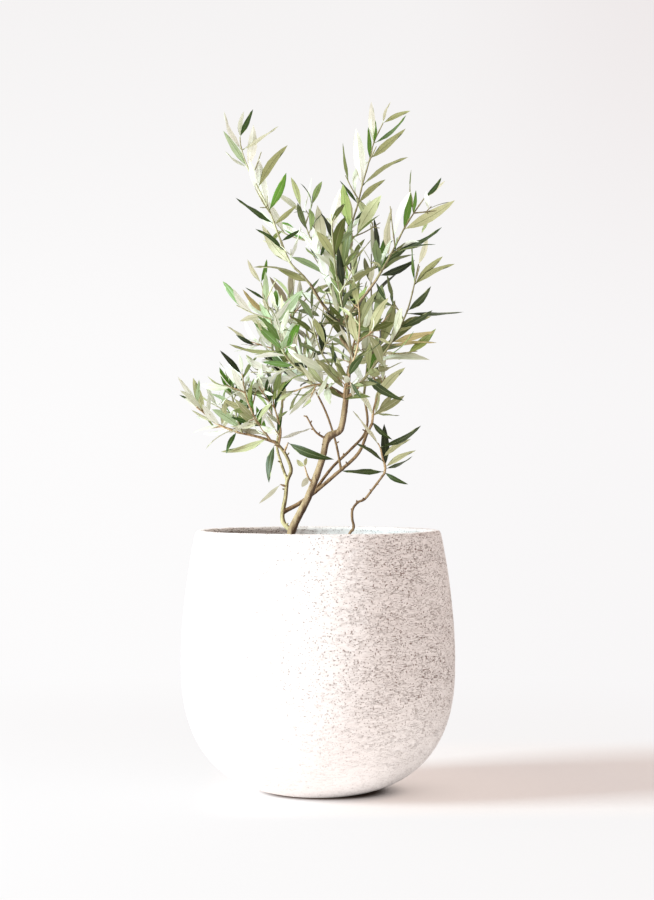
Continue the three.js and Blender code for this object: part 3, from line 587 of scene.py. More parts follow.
def limb_rod(name):
    """The rings of one limb: its places and radii, with flare, knot, collar and small nodes."""
    start, (thick, thin), _ = LIMBS[name]
    length = limb_lines[name][1][-1]
    part = np.linspace(0, 1, round(length / RING_STEP) + 1)
    away = part * length
    radii = thick + (thin - thick) * part ** LIMB_TAPER_POWER
    radii += FLARES.get(name, 0) * np.exp(-away / FLARE_REACH)
    if name in KNOTS:
        radii += KNOT_SWELLING * np.exp(-((away - KNOTS[name] * length) / KNOT_REACH) ** 2)
    if start[0] in LIMBS:
        radii += COLLAR_SWELLING * thick * np.exp(-away / COLLAR_REACH)
    to_node = (away + BARK_NODE_SHIFT * len(name)) % BARK_NODE_STEP - BARK_NODE_STEP / 2
    radii += BARK_NODE_SWELLING * radii * np.exp(-(to_node / BARK_NODE_REACH) ** 2)
    return at_part(limb_lines[name], part), radii


def stub_rods():
    """The rings of each stub, a stump that is a little thicker at its root."""
    for limb, part, length, lean, swing in STUBS:
        share = np.linspace(0, 1, len(STUB_PROFILE))
        places = at_part(limb_lines[limb], part) + np.outer(share * length, unit(along_lean(lean, swing)))
        yield limb, places, STUB_RADIUS * np.array(STUB_PROFILE)


def rods(name, lines):
    """A curve object with one spline, in metres, for each list of places and radii."""
    curve = bpy.data.curves.new(name, "CURVE")
    curve.dimensions = "3D"
    for places, radii in lines:
        spline = curve.splines.new("POLY")
        spline.points.add(len(places) - 1)
        corners = np.hstack([places * MM, np.ones((len(places), 1))])
        spline.points.foreach_set("co", corners.ravel())
        spline.points.foreach_set("radius", radii * MM)
    return placed(name, curve)


RIDGE_NOISE = (420.0, 3.0, 0.6, (1, 1, 0.22))
WARTS = ((330.0, 1.0), (0.64, 0.78))


def bark_rule():
    """A round skin along each line, as thick as its radius there, with ridges and small warts."""
    tree, given, result = rule_tree("bark_skin", Sides="Int", Ridge="Float", Wart="Float",
                                    Bark="Material")
    section = flow(tree, "GeometryNodeCurvePrimitiveCircle", {"Resolution": given["Sides"], "Radius": 1.0})
    skin = flow(tree, "GeometryNodeCurveToMesh",
                {"Curve": given["Geometry"], "Profile Curve": section, "Fill Caps": True,
                 "Scale": flow(tree, "GeometryNodeInputRadius")})
    place = flow(tree, "GeometryNodeInputPosition")
    ridge = place.noise(*RIDGE_NOISE) - NOISE_MIDDLE
    wart = place.noise(*WARTS[0]).between(*WARTS[1])
    rough = pushed(skin, ridge * given["Ridge"] + wart * given["Wart"])
    painted(realized(rough), given["Bark"]).into(result, "Geometry")
    return tree


# Each bark is its light and dark streaks, its specks, and the painted shade colour of its side away
# from the light, which starts unevenly along the streaks.
STREAKS = ((260.0, 4.0, 0.6, (1, 1, 0.18)), (0.38, 0.68))
SPECKS = ((700.0, 2.0), (0.60, 0.70))
SPECK_SHARE = 0.6
STREAK_PUSH = 0.4
AWAY_FROM_LIGHT = (-0.15, 0.75, 0.0, 0.95)
BARK_BUMP = (0.5 * MM, 0.6)
BARKS = {
    "trunk_bark": ((0.45, 0.35, 0.205), (0.29, 0.195, 0.10), (0.05, 0.033, 0.02), (0.075, 0.044, 0.024)),
    "young_bark": ((0.55, 0.49, 0.26), (0.27, 0.22, 0.10), (0.07, 0.05, 0.025), (0.12, 0.09, 0.04)),
    "tan_bark": ((0.39, 0.265, 0.14), (0.22, 0.13, 0.06), (0.05, 0.03, 0.017), (0.09, 0.052, 0.025)),
    "green_twigs": ((0.52, 0.52, 0.34), (0.36, 0.34, 0.18), (0.16, 0.12, 0.05), (0.22, 0.20, 0.09)),
    "tan_twigs": ((0.58, 0.42, 0.24), (0.38, 0.25, 0.12), (0.12, 0.07, 0.03), (0.24, 0.16, 0.08)),
    "dark_twigs": ((0.34, 0.31, 0.16), (0.20, 0.17, 0.08), (0.07, 0.05, 0.02), (0.12, 0.10, 0.045)),
}


def bark_material(name, roughness):
    """Bark with long streaks up the limb and small dark specks, with painted shade on its side away
    from the light.
    """
    light, dark, speck, shaded = BARKS[name]
    material, shader, place = plain_material(name, light, roughness)
    streak, speckle = [place.noise(*noise).between(*levels) for noise, levels in (STREAKS, SPECKS)]
    faces_right = flow(place.tree, "ShaderNodeTexCoord", output="Normal").part(0)
    uneven = faces_right + streak * STREAK_PUSH
    # Painted shade: the side facing +X, away from the light, is mixed towards the shaded colour.
    skin = uneven.between(*AWAY_FROM_LIGHT).mix(streak.mix(light, dark), shaded)
    (speckle * SPECK_SHARE).mix(skin, speck).into(shader, "Base Color")
    bumped(shader, streak, *BARK_BUMP)
    return material


bark = bark_rule()
for piece, tint, members in (("trunk_and_leaders", "trunk_bark", OLD_LIMBS),
                             ("young_limbs", "young_bark", YOUNG_LIMBS),
                             ("tan_limbs", "tan_bark", TAN_LIMBS)):
    stumps = [(places, radii) for limb, places, radii in stub_rods() if limb in members]
    skin = made_by_rule(rods(piece, [limb_rod(name) for name in members] + stumps), bark, sides=20,
                        ridge=0.5 * MM, wart=0.35 * MM, bark=bark_material(tint, 0.8))
    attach(skin, "root")
    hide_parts(*members)

# Foliage. Each shoot grows one stem on from a limb, with twigs and leaves set by a seeded rule. The
# leaves that stand out against the sky are given one by one. Lengths are in millimetres.
LEAF_LENGTH = 58
LEAF_SLIMNESS = 4.4
NODE_STEP = 25
LEAF_GAP = 0.6
BLADE_GAP = 2.2
WOOD_STEP = 6
PARALLEL = 1e-9
GUIDE_UPTO = 0.8
DRAW_FACTOR, DRAW_PRIME = 48271, 2147483647
SEED_FACTOR, SEED_START = 7919, 104729

# palette deals the tones of the ruled leaves, side is the longest side twig, every how many pairs
# stand between two of them, reach how far leaves go from the stem at its root and its tip, and ruled
# the part of the stem that the rule sets leaves on. An outer leaf is (part of the stem, length, lean,
# swing, roll from facing the front), with its letter of tones, a capital where the leaf arches.
# thin is the share of the ruled leaves that grow, fine the size of those leaves, with more pairs to
# match, and broad how much wider the outer leaves are.
Shoot = namedtuple("Shoot", "limb part seed twigs palette side every reach ruled legs tones outer "
                            "thin fine broad", defaults=("", (), 1, 1, 1))
MASSES = {
    "tall_left_shoot": Shoot("left_leader", 1, 11, "green", "pwswvwpwog", 50, 2, (60, 30), 0.3,
        ((18, -42, -6), (17, -45, -4), (33, -24, 0), (42, -21, 2), (30, -27, 2), (28, -26, 0),
        (26, -18, 2), (12, -6, 0)), "opvvvogwomwwpwvw", ((0.02, 41, -68, -10, 30),
        (0.17, 62, -36, 10, 20), (0.25, 46, -53, -14, 55), (0.32, 30, 58, 20, 40),
        (0.43, 58, -56, -6, 55), (0.43, 36, 50, -12, 40), (0.52, 51, 25, -8, 5),
        (0.52, 68, -11, 12, 15), (0.67, 66, 34, 6, 40), (0.81, 54, -34, -8, 35), (0.81, 55, 7, 10, 15),
        (0.81, 36, -53, 14, 60), (0.92, 56, 55, 12, 78), (0.92, 56, -24, 16, 60), (1, 38, 26, -10, 45),
        (1, 34, 8, 12, 30)), thin=0.35),
    "tall_right_shoot": Shoot("leader", 1, 23, "dark", "svovpwvgsw", 54, 2, (62, 30), 0.45, ((27, 8, 8),
        (30, 7, 10), (35, 6, 6), (33, 13, 4), (22, 17, 0), (23, 13, 0), (34, 16, -4), (21, 14, -4),
        (27, 25, 0)), "svpvowogowggop", ((0.49, 44, -15, -10, 25), (0.49, 36, 49, 14, 60),
        (0.49, 30, -48, 20, 40), (0.58, 38, -37, 8, 50), (0.58, 46, 49, -8, 40), (0.67, 72, -6, -6, 5),
        (0.67, 70, 57, 8, 76), (0.81, 39, -3, -16, 40), (0.81, 59, 50, -4, 45), (0.89, 54, -3, 8, 20),
        (0.89, 56, 48, 12, 76), (0.89, 28, 4, -20, 50), (1, 38, 66, -4, 50), (1, 30, 20, 14, 60)),
        thin=0.7),
    "upper_right_shoot": Shoot("right_leader", 1, 31, "dark", "svpvopwvgok", 54, 2, (60, 34), 0.3,
        ((40, 30, -8), (31, 27, -2), (25, 32, 0), (22, 35, 4)), "gkpvogsogvp", ((0.05, 58, 12, 12, 40),
        (0.05, 50, 66, 16, 35), (0.26, 64, 4, 8, 45), (0.34, 68, 64, -6, 70), (0.34, 46, 70, 14, 60),
        (0.6, 45, 11, -8, 10), (0.6, 74, 60, 6, 25), (0.8, 55, -3, 6, 76), (0.8, 28, 5, -12, 40),
        (1, 32, 40, -8, 40), (1, 34, 50, 10, 45))),
    "second_left_shoot": Shoot("leader", 0.93, 43, "green", "wwvkowwpwkgv", 60, 1, (64, 46), 1,
        ((36, -12, 34), (26, -17, 20), (27, -22, 10), (38, -23, 2), (30, -16, 0)), thin=0.8, fine=0.9),
    "upper_middle_shoot": Shoot("leader", 0.5, 57, "green", "okwkwpowwovk", 58, 2, (62, 46), 1,
        ((30, -10, -52), (34, -14, -34), (38, -10, -16), (36, -6, -6), (30, -2, 0)), thin=0.5,
        fine=0.88),
    "right_shoot": Shoot("right_crown_bough", 1, 61, "dark", "oskwodwspgd", 56, 2, (60, 40), 0.4,
        ((25, 37, -20), (29, 38, -14), (27, 30, -8), (25, 24, 0), (30, 15, 5), (28, 12, 6)),
        "Dttodddoogp", ((0.06, 56, 124, -20, 30), (0.35, 60, 86, 10, 72), (0.38, 55, 76, -8, 40),
        (0.46, 48, 64, 8, 40), (0.5, 46, 62, -12, 45), (0.62, 72, 88, 8, 74), (0.64, 42, 44, -10, 30),
        (0.84, 50, 45, -6, 35), (0.84, 58, 62, 10, 62), (0.86, 50, -4, 6, 70), (1, 36, 17, -6, 10))),
    "right_rear_shoot": Shoot("rear_cross_bough", 1, 71, "dark", "odspokpwdk", 60, 2, (66, 50), 1,
        ((43, 7, 6), (38, 9, 4), (46, -2, 0), (54, 0, -4))),
    "cross_shoot": Shoot("cross_bough", 1, 83, "tan", "bsodspptw", 40, 2, (46, 44), 1, ((18, 6, -16),
        (21, 16, -10), (24, 22, 0)), "D", ((0.04, 34, 132, -16, 30),)),
    "inner_shoot": Shoot("inner_bough", 1, 97, "tan", "bsdspkwdtp", 60, 1, (66, 56), 1, ((27, -28, 26),
        (27, -22, 22), (34, -8, 14), (34, 4, 6)), fine=0.88),
    "mid_left_shoot": Shoot("left_crown_bough", 1, 101, "green", "pwwpwvwwmwg", 56, 1, (62, 40), 0.45,
        ((18, -67, -14), (27, -43, -12), (34, -24, -6), (29, -15, 0), (30, -15, 5)), "osgpwtpmvpg",
        ((0.36, 68, -82, 10, 72), (0.4, 44, -43, -14, 25), (0.44, 39, -31, 12, 30),
        (0.58, 36, -62, 6, 40), (0.62, 40, 38, -10, 45), (0.7, 46, -46, -4, 45), (0.7, 38, -13, 12, 30),
        (0.8, 40, -2, -12, 20), (0.84, 30, -58, 6, 55), (1, 34, -30, 10, 40), (1, 30, 14, -8, 40)),
        fine=0.78),
    "left_middle_shoot": Shoot("left_crown_bough", 0.5, 107, "green", "swwvwwkpwgw", 54, 1, (60, 46), 1,
        ((22, -80, 26), (26, -60, 20), (28, -34, 12), (26, -12, 6), (24, 0, 0)), fine=0.72),
    "left_inner_shoot": Shoot("left_stem", 0.96, 109, "tan", "swwwvpwwvp", 52, 1, (58, 46), 1,
        ((19, 8, 18), (15, -14, 12), (18, -16, 6), (21, -7, 0)), fine=0.68),
    "left_lower_shoot": Shoot("left_outer_bough", 0.14, 113, "tan", "pvwwpwwpwwg", 50, 1, (66, 46), 1,
        ((20, -34, -26), (22, -31, -16), (24, -20, -8), (26, -10, 0)), "sbpsk",
        ((0.06, 62, -107, -8, 55), (0.12, 44, -80, 14, 40), (0.3, 36, -96, -16, 30),
        (0.5, 38, -68, -16, 20), (0.98, 42, -42, 10, 45)), fine=0.66),
    "left_outer_shoot": Shoot("left_outer_bough", 1, 127, "tan", "wpwwpwwpwg", 44, 1, (52, 44), 0.5,
        ((29, -68, -6), (16, -51, -4), (20, -40, 0)), "vwspwsvwm", ((0.04, 30, -155, -20, 20),
        (0.2, 34, -100, 18, 50), (0.35, 36, 10, -12, 15), (0.5, 34, -62, 14, 60), (0.68, 34, 4, 16, 40),
        (0.75, 47, -18, -10, 25), (0.75, 40, -54, 0, 60), (1, 42, -36, 8, 40), (1, 30, 6, -16, 45)),
        thin=0.65, fine=0.7),
    "left_rising_shoot": Shoot("left_outer_bough", 0.9, 129, "green", "wpwwpwwgmv", 40, 1, (50, 44), 1,
        ((20, -18, 14), (23, -13, 8), (22, -13, 0)), "pgv", ((0.5, 30, -150, -20, 20),
        (0.78, 37, -24, -12, 25), (0.8, 32, 32, 8, 60)), fine=0.66),
    "left_rear_shoot": Shoot("left_rear_bough", 1, 131, "tan", "spwwpswwkd", 54, 1, (60, 50), 1,
        ((25, 0, 14), (26, -9, 10), (26, -18, 6), (26, -12, 0)), fine=0.72),
    "centre_left_shoot": Shoot("leader", 0.12, 139, "green", "swwkwpwpwvow", 52, 1, (58, 48), 1,
        ((20, -50, -34), (26, -38, -24), (28, -20, -10), (28, -8, 0)), fine=0.8),
    "fork_shoot": Shoot("left_crown_bough", 0.4, 157, "tan", "wbpwodwp", 34, 1, (44, 40), 1,
        ((14, -70, -50), (18, -98, -26), (18, -112, -8)), fine=0.7),
    "front_shoot": Shoot("trunk", 0.93, 149, "tan", "pspwodwsbdkp", 56, 2, (62, 50), 1, ((16, -4, -58),
        (24, 14, -46), (32, 18, -24), (34, 4, -8), (26, -6, 0)), fine=0.85),
    "rear_shoot": Shoot("leader", 0.3, 151, "tan", "opdkspbdwsp", 60, 2, (66, 54), 1, ((18, 6, 56),
        (26, 12, 48), (36, 2, 28), (36, -6, 14), (36, -4, 4)), thin=0.75, fine=0.88),
    "sucker_shoot": Shoot("sucker", 1, 163, "tan", "ds", 0, 9, (70, 70), 0, ((8, 8, 0), (13, -16, 0),
        (11, -12, 0), (8, -24, 0)), "Ddskddsdp", ((0.04, 33, 117, -20, 30), (0.06, 54, -89, 10, 55),
        (0.2, 44, 61, -6, 30), (0.22, 54, -1, 14, 15), (0.16, 38, 66, 18, 60), (0.34, 44, -56, -16, 60),
        (0.52, 43, 57, 4, 35), (0.85, 58, 62, -12, 55), (0.9, 56, -37, 10, 72))),
    "trunk_sprout": Shoot("trunk", 0.45, 173, "tan", "s", 0, 9, (40, 40), 0, ((9, -45, -14),
        (16, -18, -10)), "bss", ((0.45, 15, -150, -20, 20), (1, 13, -50, 0, 20), (1, 11, 14, 20, 40)),
        broad=2.4),
    "crossing_leaf": Shoot("left_stem", 0.87, 179, "tan", "k", 0, 9, (80, 80), 0, ((13, 25, -56),), "D",
        ((1, 61, 110, -14, 25),)),
    "hanging_leaf": Shoot("left_stem", 0.94, 181, "tan", "d", 0, 9, (80, 80), 0, ((7, -70, -55),), "d",
        ((1, 48, -172, -10, 25),)),
    "low_leaf": Shoot("left_stem", 0.5, 191, "tan", "s", 0, 9, (80, 80), 0, ((8, -70, -30),), "b",
        ((1, 36, -132, -10, 45),)),
}


def seeded(seed):
    """Seeded draws between 0 and 1."""
    state = (seed * SEED_FACTOR + SEED_START) % DRAW_PRIME

    def draw():
        nonlocal state
        state = state * DRAW_FACTOR % DRAW_PRIME
        return state / DRAW_PRIME

    draw()
    draw()
    return draw


def about(draw, width):
    """A draw round 0, from a range so wide."""
    return width * (draw() - 0.5)


def varied(draw, least, more):
    return least + more * draw()


def lerp(ends, share):
    return ends[0] + (ends[1] - ends[0]) * share


def leaning(direction, turn, spread):
    """A direction that leans off another by so many degrees, on the side that turn names."""
    guide = np.array([0.0, 1, 0]) if abs(direction[1]) < GUIDE_UPTO else np.array([1.0, 0, 0])
    first = unit(np.cross(direction, guide))
    second = np.cross(direction, first)
    turn, spread = math.radians(turn), math.radians(spread)
    return (direction * math.cos(spread) + first * math.cos(turn) * math.sin(spread)
            + second * math.sin(turn) * math.sin(spread))


def turned_about(vector, axis, degrees):
    """A vector turned about an axis that is square to it."""
    turn = math.radians(degrees)
    return vector * math.cos(turn) + np.cross(axis, vector) * math.sin(turn)


def gaps(a, b, starts, ends):
    """How near the stretch from a to b comes to each of the others."""
    first, second, apart = b - a, ends - starts, a - starts
    first_sq, second_sq = first @ first, (second ** 2).sum(1)
    both, along_first, along_second = second @ first, apart @ first, (second * apart).sum(1)
    spare = np.maximum(first_sq * second_sq - both ** 2, PARALLEL)
    near = np.clip((both * along_second - along_first * second_sq) / spare, 0, 1)
    other = np.clip((both * near + along_second) / second_sq, 0, 1)
    near = np.clip((both * other - along_first) / first_sq, 0, 1)
    return np.linalg.norm(apart + near[:, None] * first - other[:, None] * second, axis=1)


class Standing:
    """What stands in the crown so far, as straight stretches with an owner and a radius."""

    def __init__(self):
        self.stretches = []

    def add(self, owner, places, radius):
        self.stretches += [(owner, a, b, radius) for a, b in zip(places, places[1:])]

    def is_clear(self, owners, a, b, margin):
        others = [stretch for stretch in self.stretches if stretch[0] not in owners]
        if not others:
            return True
        _, starts, ends, radii = zip(*others)
        return (gaps(a, b, np.array(starts), np.array(ends)) > np.array(radii) + margin).all()


wood = Standing()
blades = Standing()
for name in LIMBS:
    places, radii = limb_rod(name)
    for k in range(0, len(places) - WOOD_STEP, WOOD_STEP):
        wood.add(name, [places[k], places[k + WOOD_STEP]], radii[k])

# Twigs. They are thin and smooth, and green, tan or dark; the dark ones are those of the shoots at
# the right. Each stem grows on from the tip or the side of its limb; side twigs leave it a turn of the
# golden angle on from each other and rise towards the light, and short spurs leave both. Turns and
# spreads are in degrees, and a range is how far apart the draws round one of them can be.
TWIG_RADII = ((1.75, 0.75), (1.05, 0.6), (0.75, 0.5))
TWIG_TURN = 45
NEAR_TIP = 0.99
SIDE_TWIG_TURN, SIDE_TURN_RANGE = 137.5, 30
SIDE_TWIG_SPREAD, SIDE_SPREAD_RANGE = 52, 16
SIDE_TWIG_RISE = 0.16
SIDE_TWIG_SHORTENING = 0.45
SIDE_TWIG_SIZES = (0.75, 0.5)
SPUR_SHARE = 0.26
SPUR_TURN_RANGE = 40
SPUR_SPREAD, SPUR_SPREAD_RANGE = 44, 18
SPUR_LENGTHS = (9, 22)
SPUR_SHORTENING = 0.35
SIDE_TWIG_SEEDS, SPUR_SEEDS, SPUR_DRAWS = 31, 17, 53
Twig = namedtuple("Twig", "mass line joints order turn seed draw")
twigs = []


def add_twig(mass, line, joints, order, turn, seed):
    twigs.append(Twig(mass, line, np.array(joints), order, turn, seed, seeded(seed)))
    wood.add(mass, joints, TWIG_RADII[order][0])


def grow_stem(name):
    mass = MASSES[name]
    line = limb_lines[mass.limb]
    root = at_part(line, mass.part)
    if mass.part == 1:
        root = root - unit(at_part(line, 1) - at_part(line, NEAR_TIP))
    stem = route(root, mass.legs)
    pairs = max(1, round(stem[1][-1] / NODE_STEP))
    joints = at_part(stem, np.linspace(0, 1, pairs + 1))
    add_twig(name, stem, joints, 0, 90 * seeded(mass.seed + 1)(), mass.seed)


def grow_twig(parent, root, direction, length, order, seed):
    """A twig that rises as it goes. It is left out if it would come near other wood."""
    steps = max(1, round(length / NODE_STEP))
    joints = [root]
    for _ in range(steps):
        joints.append(joints[-1] + direction * length / steps)
        direction = unit(direction + np.array([0, 0, SIDE_TWIG_RISE]))
    own = (parent.mass, MASSES[parent.mass].limb)
    margin = TWIG_RADII[1][0] + LEAF_GAP
    if all(wood.is_clear(own, a, b, margin) for a, b in zip(joints, joints[1:])):
        add_twig(parent.mass, smooth_through(joints), joints, order, TWIG_TURN, seed)


def grow_side_twigs(stem):
    mass = MASSES[stem.mass]
    if mass.side == 0:
        return
    draw = seeded(mass.seed + 2)
    turn = 360 * draw()
    joints, last = stem.joints, len(stem.joints) - 1
    for i in range(mass.every, last, mass.every):
        turn += SIDE_TWIG_TURN + about(draw, SIDE_TURN_RANGE)
        length = mass.side * (1 - SIDE_TWIG_SHORTENING * i / last) * varied(draw, *SIDE_TWIG_SIZES)
        spread = SIDE_TWIG_SPREAD + about(draw, SIDE_SPREAD_RANGE)
        direction = leaning(unit(joints[i + 1] - joints[i - 1]), turn, spread)
        grow_twig(stem, joints[i], direction, length, 1, mass.seed * SIDE_TWIG_SEEDS + i)


def grow_spurs(twig):
    """Short spurs in the angles of some leaves, where the rule sets leaves."""
    draw = seeded(twig.seed * SPUR_DRAWS + 7)
    joints, last = twig.joints, len(twig.joints) - 1
    upto = MASSES[twig.mass].ruled if twig.order == 0 else 1
    for i in range(last):
        part = (i + 0.5) / last
        for half in (0, 180):
            turn = twig.turn + 90 * i + half + about(draw, SPUR_TURN_RANGE)
            length = lerp(SPUR_LENGTHS, draw()) * (1 - SPUR_SHORTENING * part)
            if draw() < SPUR_SHARE and part <= upto:
                spread = SPUR_SPREAD + about(draw, SPUR_SPREAD_RANGE)
                direction = leaning(unit(joints[i + 1] - joints[i]), turn, spread)
                root = (joints[i] + joints[i + 1]) / 2
                grow_twig(twig, root, direction, length, 2, twig.seed * SPUR_SEEDS + 10 * i + half)


# A ruled leaf that would pass its shoot's reach, or come near wood or another leaf, is turned by the
# next of the tries, or left out. Widths and lengths are (the least share, how much more at most).
BARE_STALK = 0.12
FRONT = np.array([0, -1.0, 0])
UPPER_SIDE_SHOWN = "kdvg"
OUTER_SHARE, OUTER_WIDTHS = 0.84, (0.95, 0.25)
BLADE_SHARE, LEAF_WIDTHS = 0.92, (0.86, 0.3)
LEAF_LENGTHS = (0.84, 0.36)
LEAF_TURN_RANGE = 30
LEAF_SPREADS, LEAF_SPREAD_RANGE = (54, 34), 24
LEAF_ROLL_RANGE = 84
END_LEAF_SPREAD = 0.3
YOUNG_FROM = 0.7
YOUNGEST_SIZE = 0.74
SPUR_LEAF_SIZE = 0.62
SHARE_OF_LEAVES = 0.94
MAIN_TONE_SHARE = 0.4
ARCHED_SHARE = 0.12
LAST_PART, AHEAD = 0.999, 0.001
LEAF_TRIES = (0, 24, -24, 48, -48, 72)
TRIED_SPREAD = 3
POINT = 1e-3
Leaf = namedtuple("Leaf", "root along up length width tone form")
leaves = []
draw_tone = seeded(2027)


def dealt(palette):
    return palette[int(draw_tone() * len(palette))]


def blade_ends(root, along, length):
    return root + along * BARE_STALK * length, root + along * length


def keep_leaf(twig, leaf):
    blades.add(twig.mass, blade_ends(leaf.root, leaf.along, leaf.length), 0)
    leaves.append(leaf)


def grow_outer_leaves(stem):
    """The leaves that stand out against the sky, each by its own lean, swing, roll and tone."""
    mass = MASSES[stem.mass]
    draw = seeded(mass.seed + 3)
    for (part, seen, lean, swing, roll), tone in zip(mass.outer, mass.tones):
        along = unit(along_lean(lean, swing))
        length = seen / math.cos(math.radians(swing))
        width = length / LEAF_SLIMNESS * OUTER_SHARE * varied(draw, *OUTER_WIDTHS) * mass.broad
        side = 1 if tone.lower() in UPPER_SIDE_SHOWN else -1
        up = turned_about(side * unit(FRONT + along[1] * along), along, roll)
        root = at_part(stem.line, min(part, LAST_PART))
        form = "arched" if tone.isupper() else "gentle"
        keep_leaf(stem, Leaf(root, along, up, length, width, tone.lower(), form))


def offer_leaf(twig, reach, direction, side, spread, roll, leaf):
    """Keeps the first of several tries at a leaf that stays in reach and clear of wood and leaves."""
    stem = stems[twig.mass].joints
    for extra in LEAF_TRIES:
        along = leaning(direction, side, spread + extra / TRIED_SPREAD)
        start, tip = blade_ends(leaf.root, along, leaf.length)
        if gaps(tip, tip + POINT, stem[:-1], stem[1:]).min() > reach:
            continue
        if (wood.is_clear((twig.mass,), start, tip, LEAF_GAP)
                and blades.is_clear((), start, tip, BLADE_GAP)):
            facing = unit(direction - (direction @ along) * along)
            up = turned_about(facing, along, roll + extra)
            keep_leaf(twig, leaf._replace(along=along, up=up))
            return


def grow_ruled_leaves(twig):
    """Pairs of leaves, each a quarter turn on from the last, and one that ends the twig."""
    mass, draw = MASSES[twig.mass], twig.draw
    last = max(1, round((len(twig.joints) - 1) / mass.fine))
    is_stem = twig.order == 0
    size = mass.fine * (SPUR_LEAF_SIZE if twig.order == 2 else 1)
    upto = mass.ruled if is_stem else 1
    main = dealt(mass.palette)
    for i in range(last):
        middle = (i + 0.5) / last
        reach = lerp(mass.reach, middle if is_stem else 0.5)
        turn = twig.turn + 90 * i + about(draw, LEAF_TURN_RANGE)
        for half in (0, 180, "end") if i == last - 1 else (0, 180):
            is_end = half == "end"
            part = 1 if is_end else middle
            youth = max(0, (part - YOUNG_FROM) / (1 - YOUNG_FROM))
            length = size * LEAF_LENGTH * lerp((1, YOUNGEST_SIZE), youth) * varied(draw, *LEAF_LENGTHS)
            spread = lerp(LEAF_SPREADS, part) + about(draw, LEAF_SPREAD_RANGE)
            spread *= END_LEAF_SPREAD if is_end else 1
            roll = about(draw, LEAF_ROLL_RANGE)
            width = length / LEAF_SLIMNESS * BLADE_SHARE * varied(draw, *LEAF_WIDTHS)
            kept = draw() < SHARE_OF_LEAVES * mass.thin and part <= upto
            side = turn + (90 if is_end else half)
            way = min(part, LAST_PART)
            root = at_part(twig.line, way)
            direction = unit(at_part(twig.line, way + AHEAD) - root)
            tone = main if draw_tone() < MAIN_TONE_SHARE else dealt(mass.palette)
            form = "arched" if draw_tone() < ARCHED_SHARE else "gentle"
            if kept:
                leaf = Leaf(root, None, None, length, width, tone, form)
                offer_leaf(twig, reach, direction, side, spread, roll, leaf)


for name in MASSES:
    grow_stem(name)
stems = {twig.mass: twig for twig in twigs}
for stem in stems.values():
    grow_side_twigs(stem)
for stem in stems.values():
    grow_outer_leaves(stem)
bearing = list(twigs)
for twig in bearing:
    grow_ruled_leaves(twig)
for twig in bearing:
    grow_spurs(twig)
for twig in twigs[len(bearing):]:
    grow_ruled_leaves(twig)

TWIG_RING_STEP = 2.4
TWIG_TAPER_POWER = 0.8
PAIR_SWELLING = 0.3
PAIR_REACH = 1.6


def twig_rod(twig):
    """The rings of a twig, which thins towards its tip and swells a little at each pair of leaves."""
    length = twig.line[1][-1]
    thick, thin = TWIG_RADII[twig.order]
    part = np.linspace(0, 1, max(3, round(length / TWIG_RING_STEP)) + 1)
    radii = thick + (thin - thick) * part ** TWIG_TAPER_POWER
    pairs = len(twig.joints) - 1
    to_pair = np.abs((part * pairs) % 1 - 0.5) * length / pairs
    swelling = 1 + PAIR_SWELLING * np.exp(-(to_pair / PAIR_REACH) ** 2)
    return at_part(twig.line, part), radii * swelling


for tint, roughness in (("green", 0.7), ("tan", 0.75), ("dark", 0.75)):
    members = [name for name in MASSES if MASSES[name].twigs == tint]
    lines = [twig_rod(twig) for twig in twigs if twig.mass in members]
    skin = made_by_rule(rods(tint + "_twigs", lines), bark, sides=7, ridge=0.15 * MM, wart=0.2 * MM,
                        bark=bark_material(tint + "_twigs", roughness))
    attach(skin, "root")
    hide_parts(*members)

# Leaves. Olive leaves are stiff, slim and leathery: dark green above, and covered with fine silvery
# scales beneath, with a paler midrib that is sunk above and raised beneath. Each is a thin closed
# blade on a short stalk, bowed, swayed or twisted a little, and dealt a tone by its spray.
LEAF_STATIONS = (0, 0.055, 0.17, 0.34, 0.52, 0.70, 0.87, 1)
LEAF_COLUMNS = (-1, -0.52, -0.065, 0.065, 0.52, 1)
RIB_COLUMN = 2
STALK_END = 0.055
STALK_HALF_WIDTH = 0.055
WIDEST_SHIFT, FULLNESS = 0.93, 0.82
BLADE_HALF_THICKNESS = 0.0045
RIB_DEPTH = 0.003
EDGE_DROP = 0.06
WAVES_ALONG, WAVES_ACROSS = 9, 2
TWIST_AT = 0.4

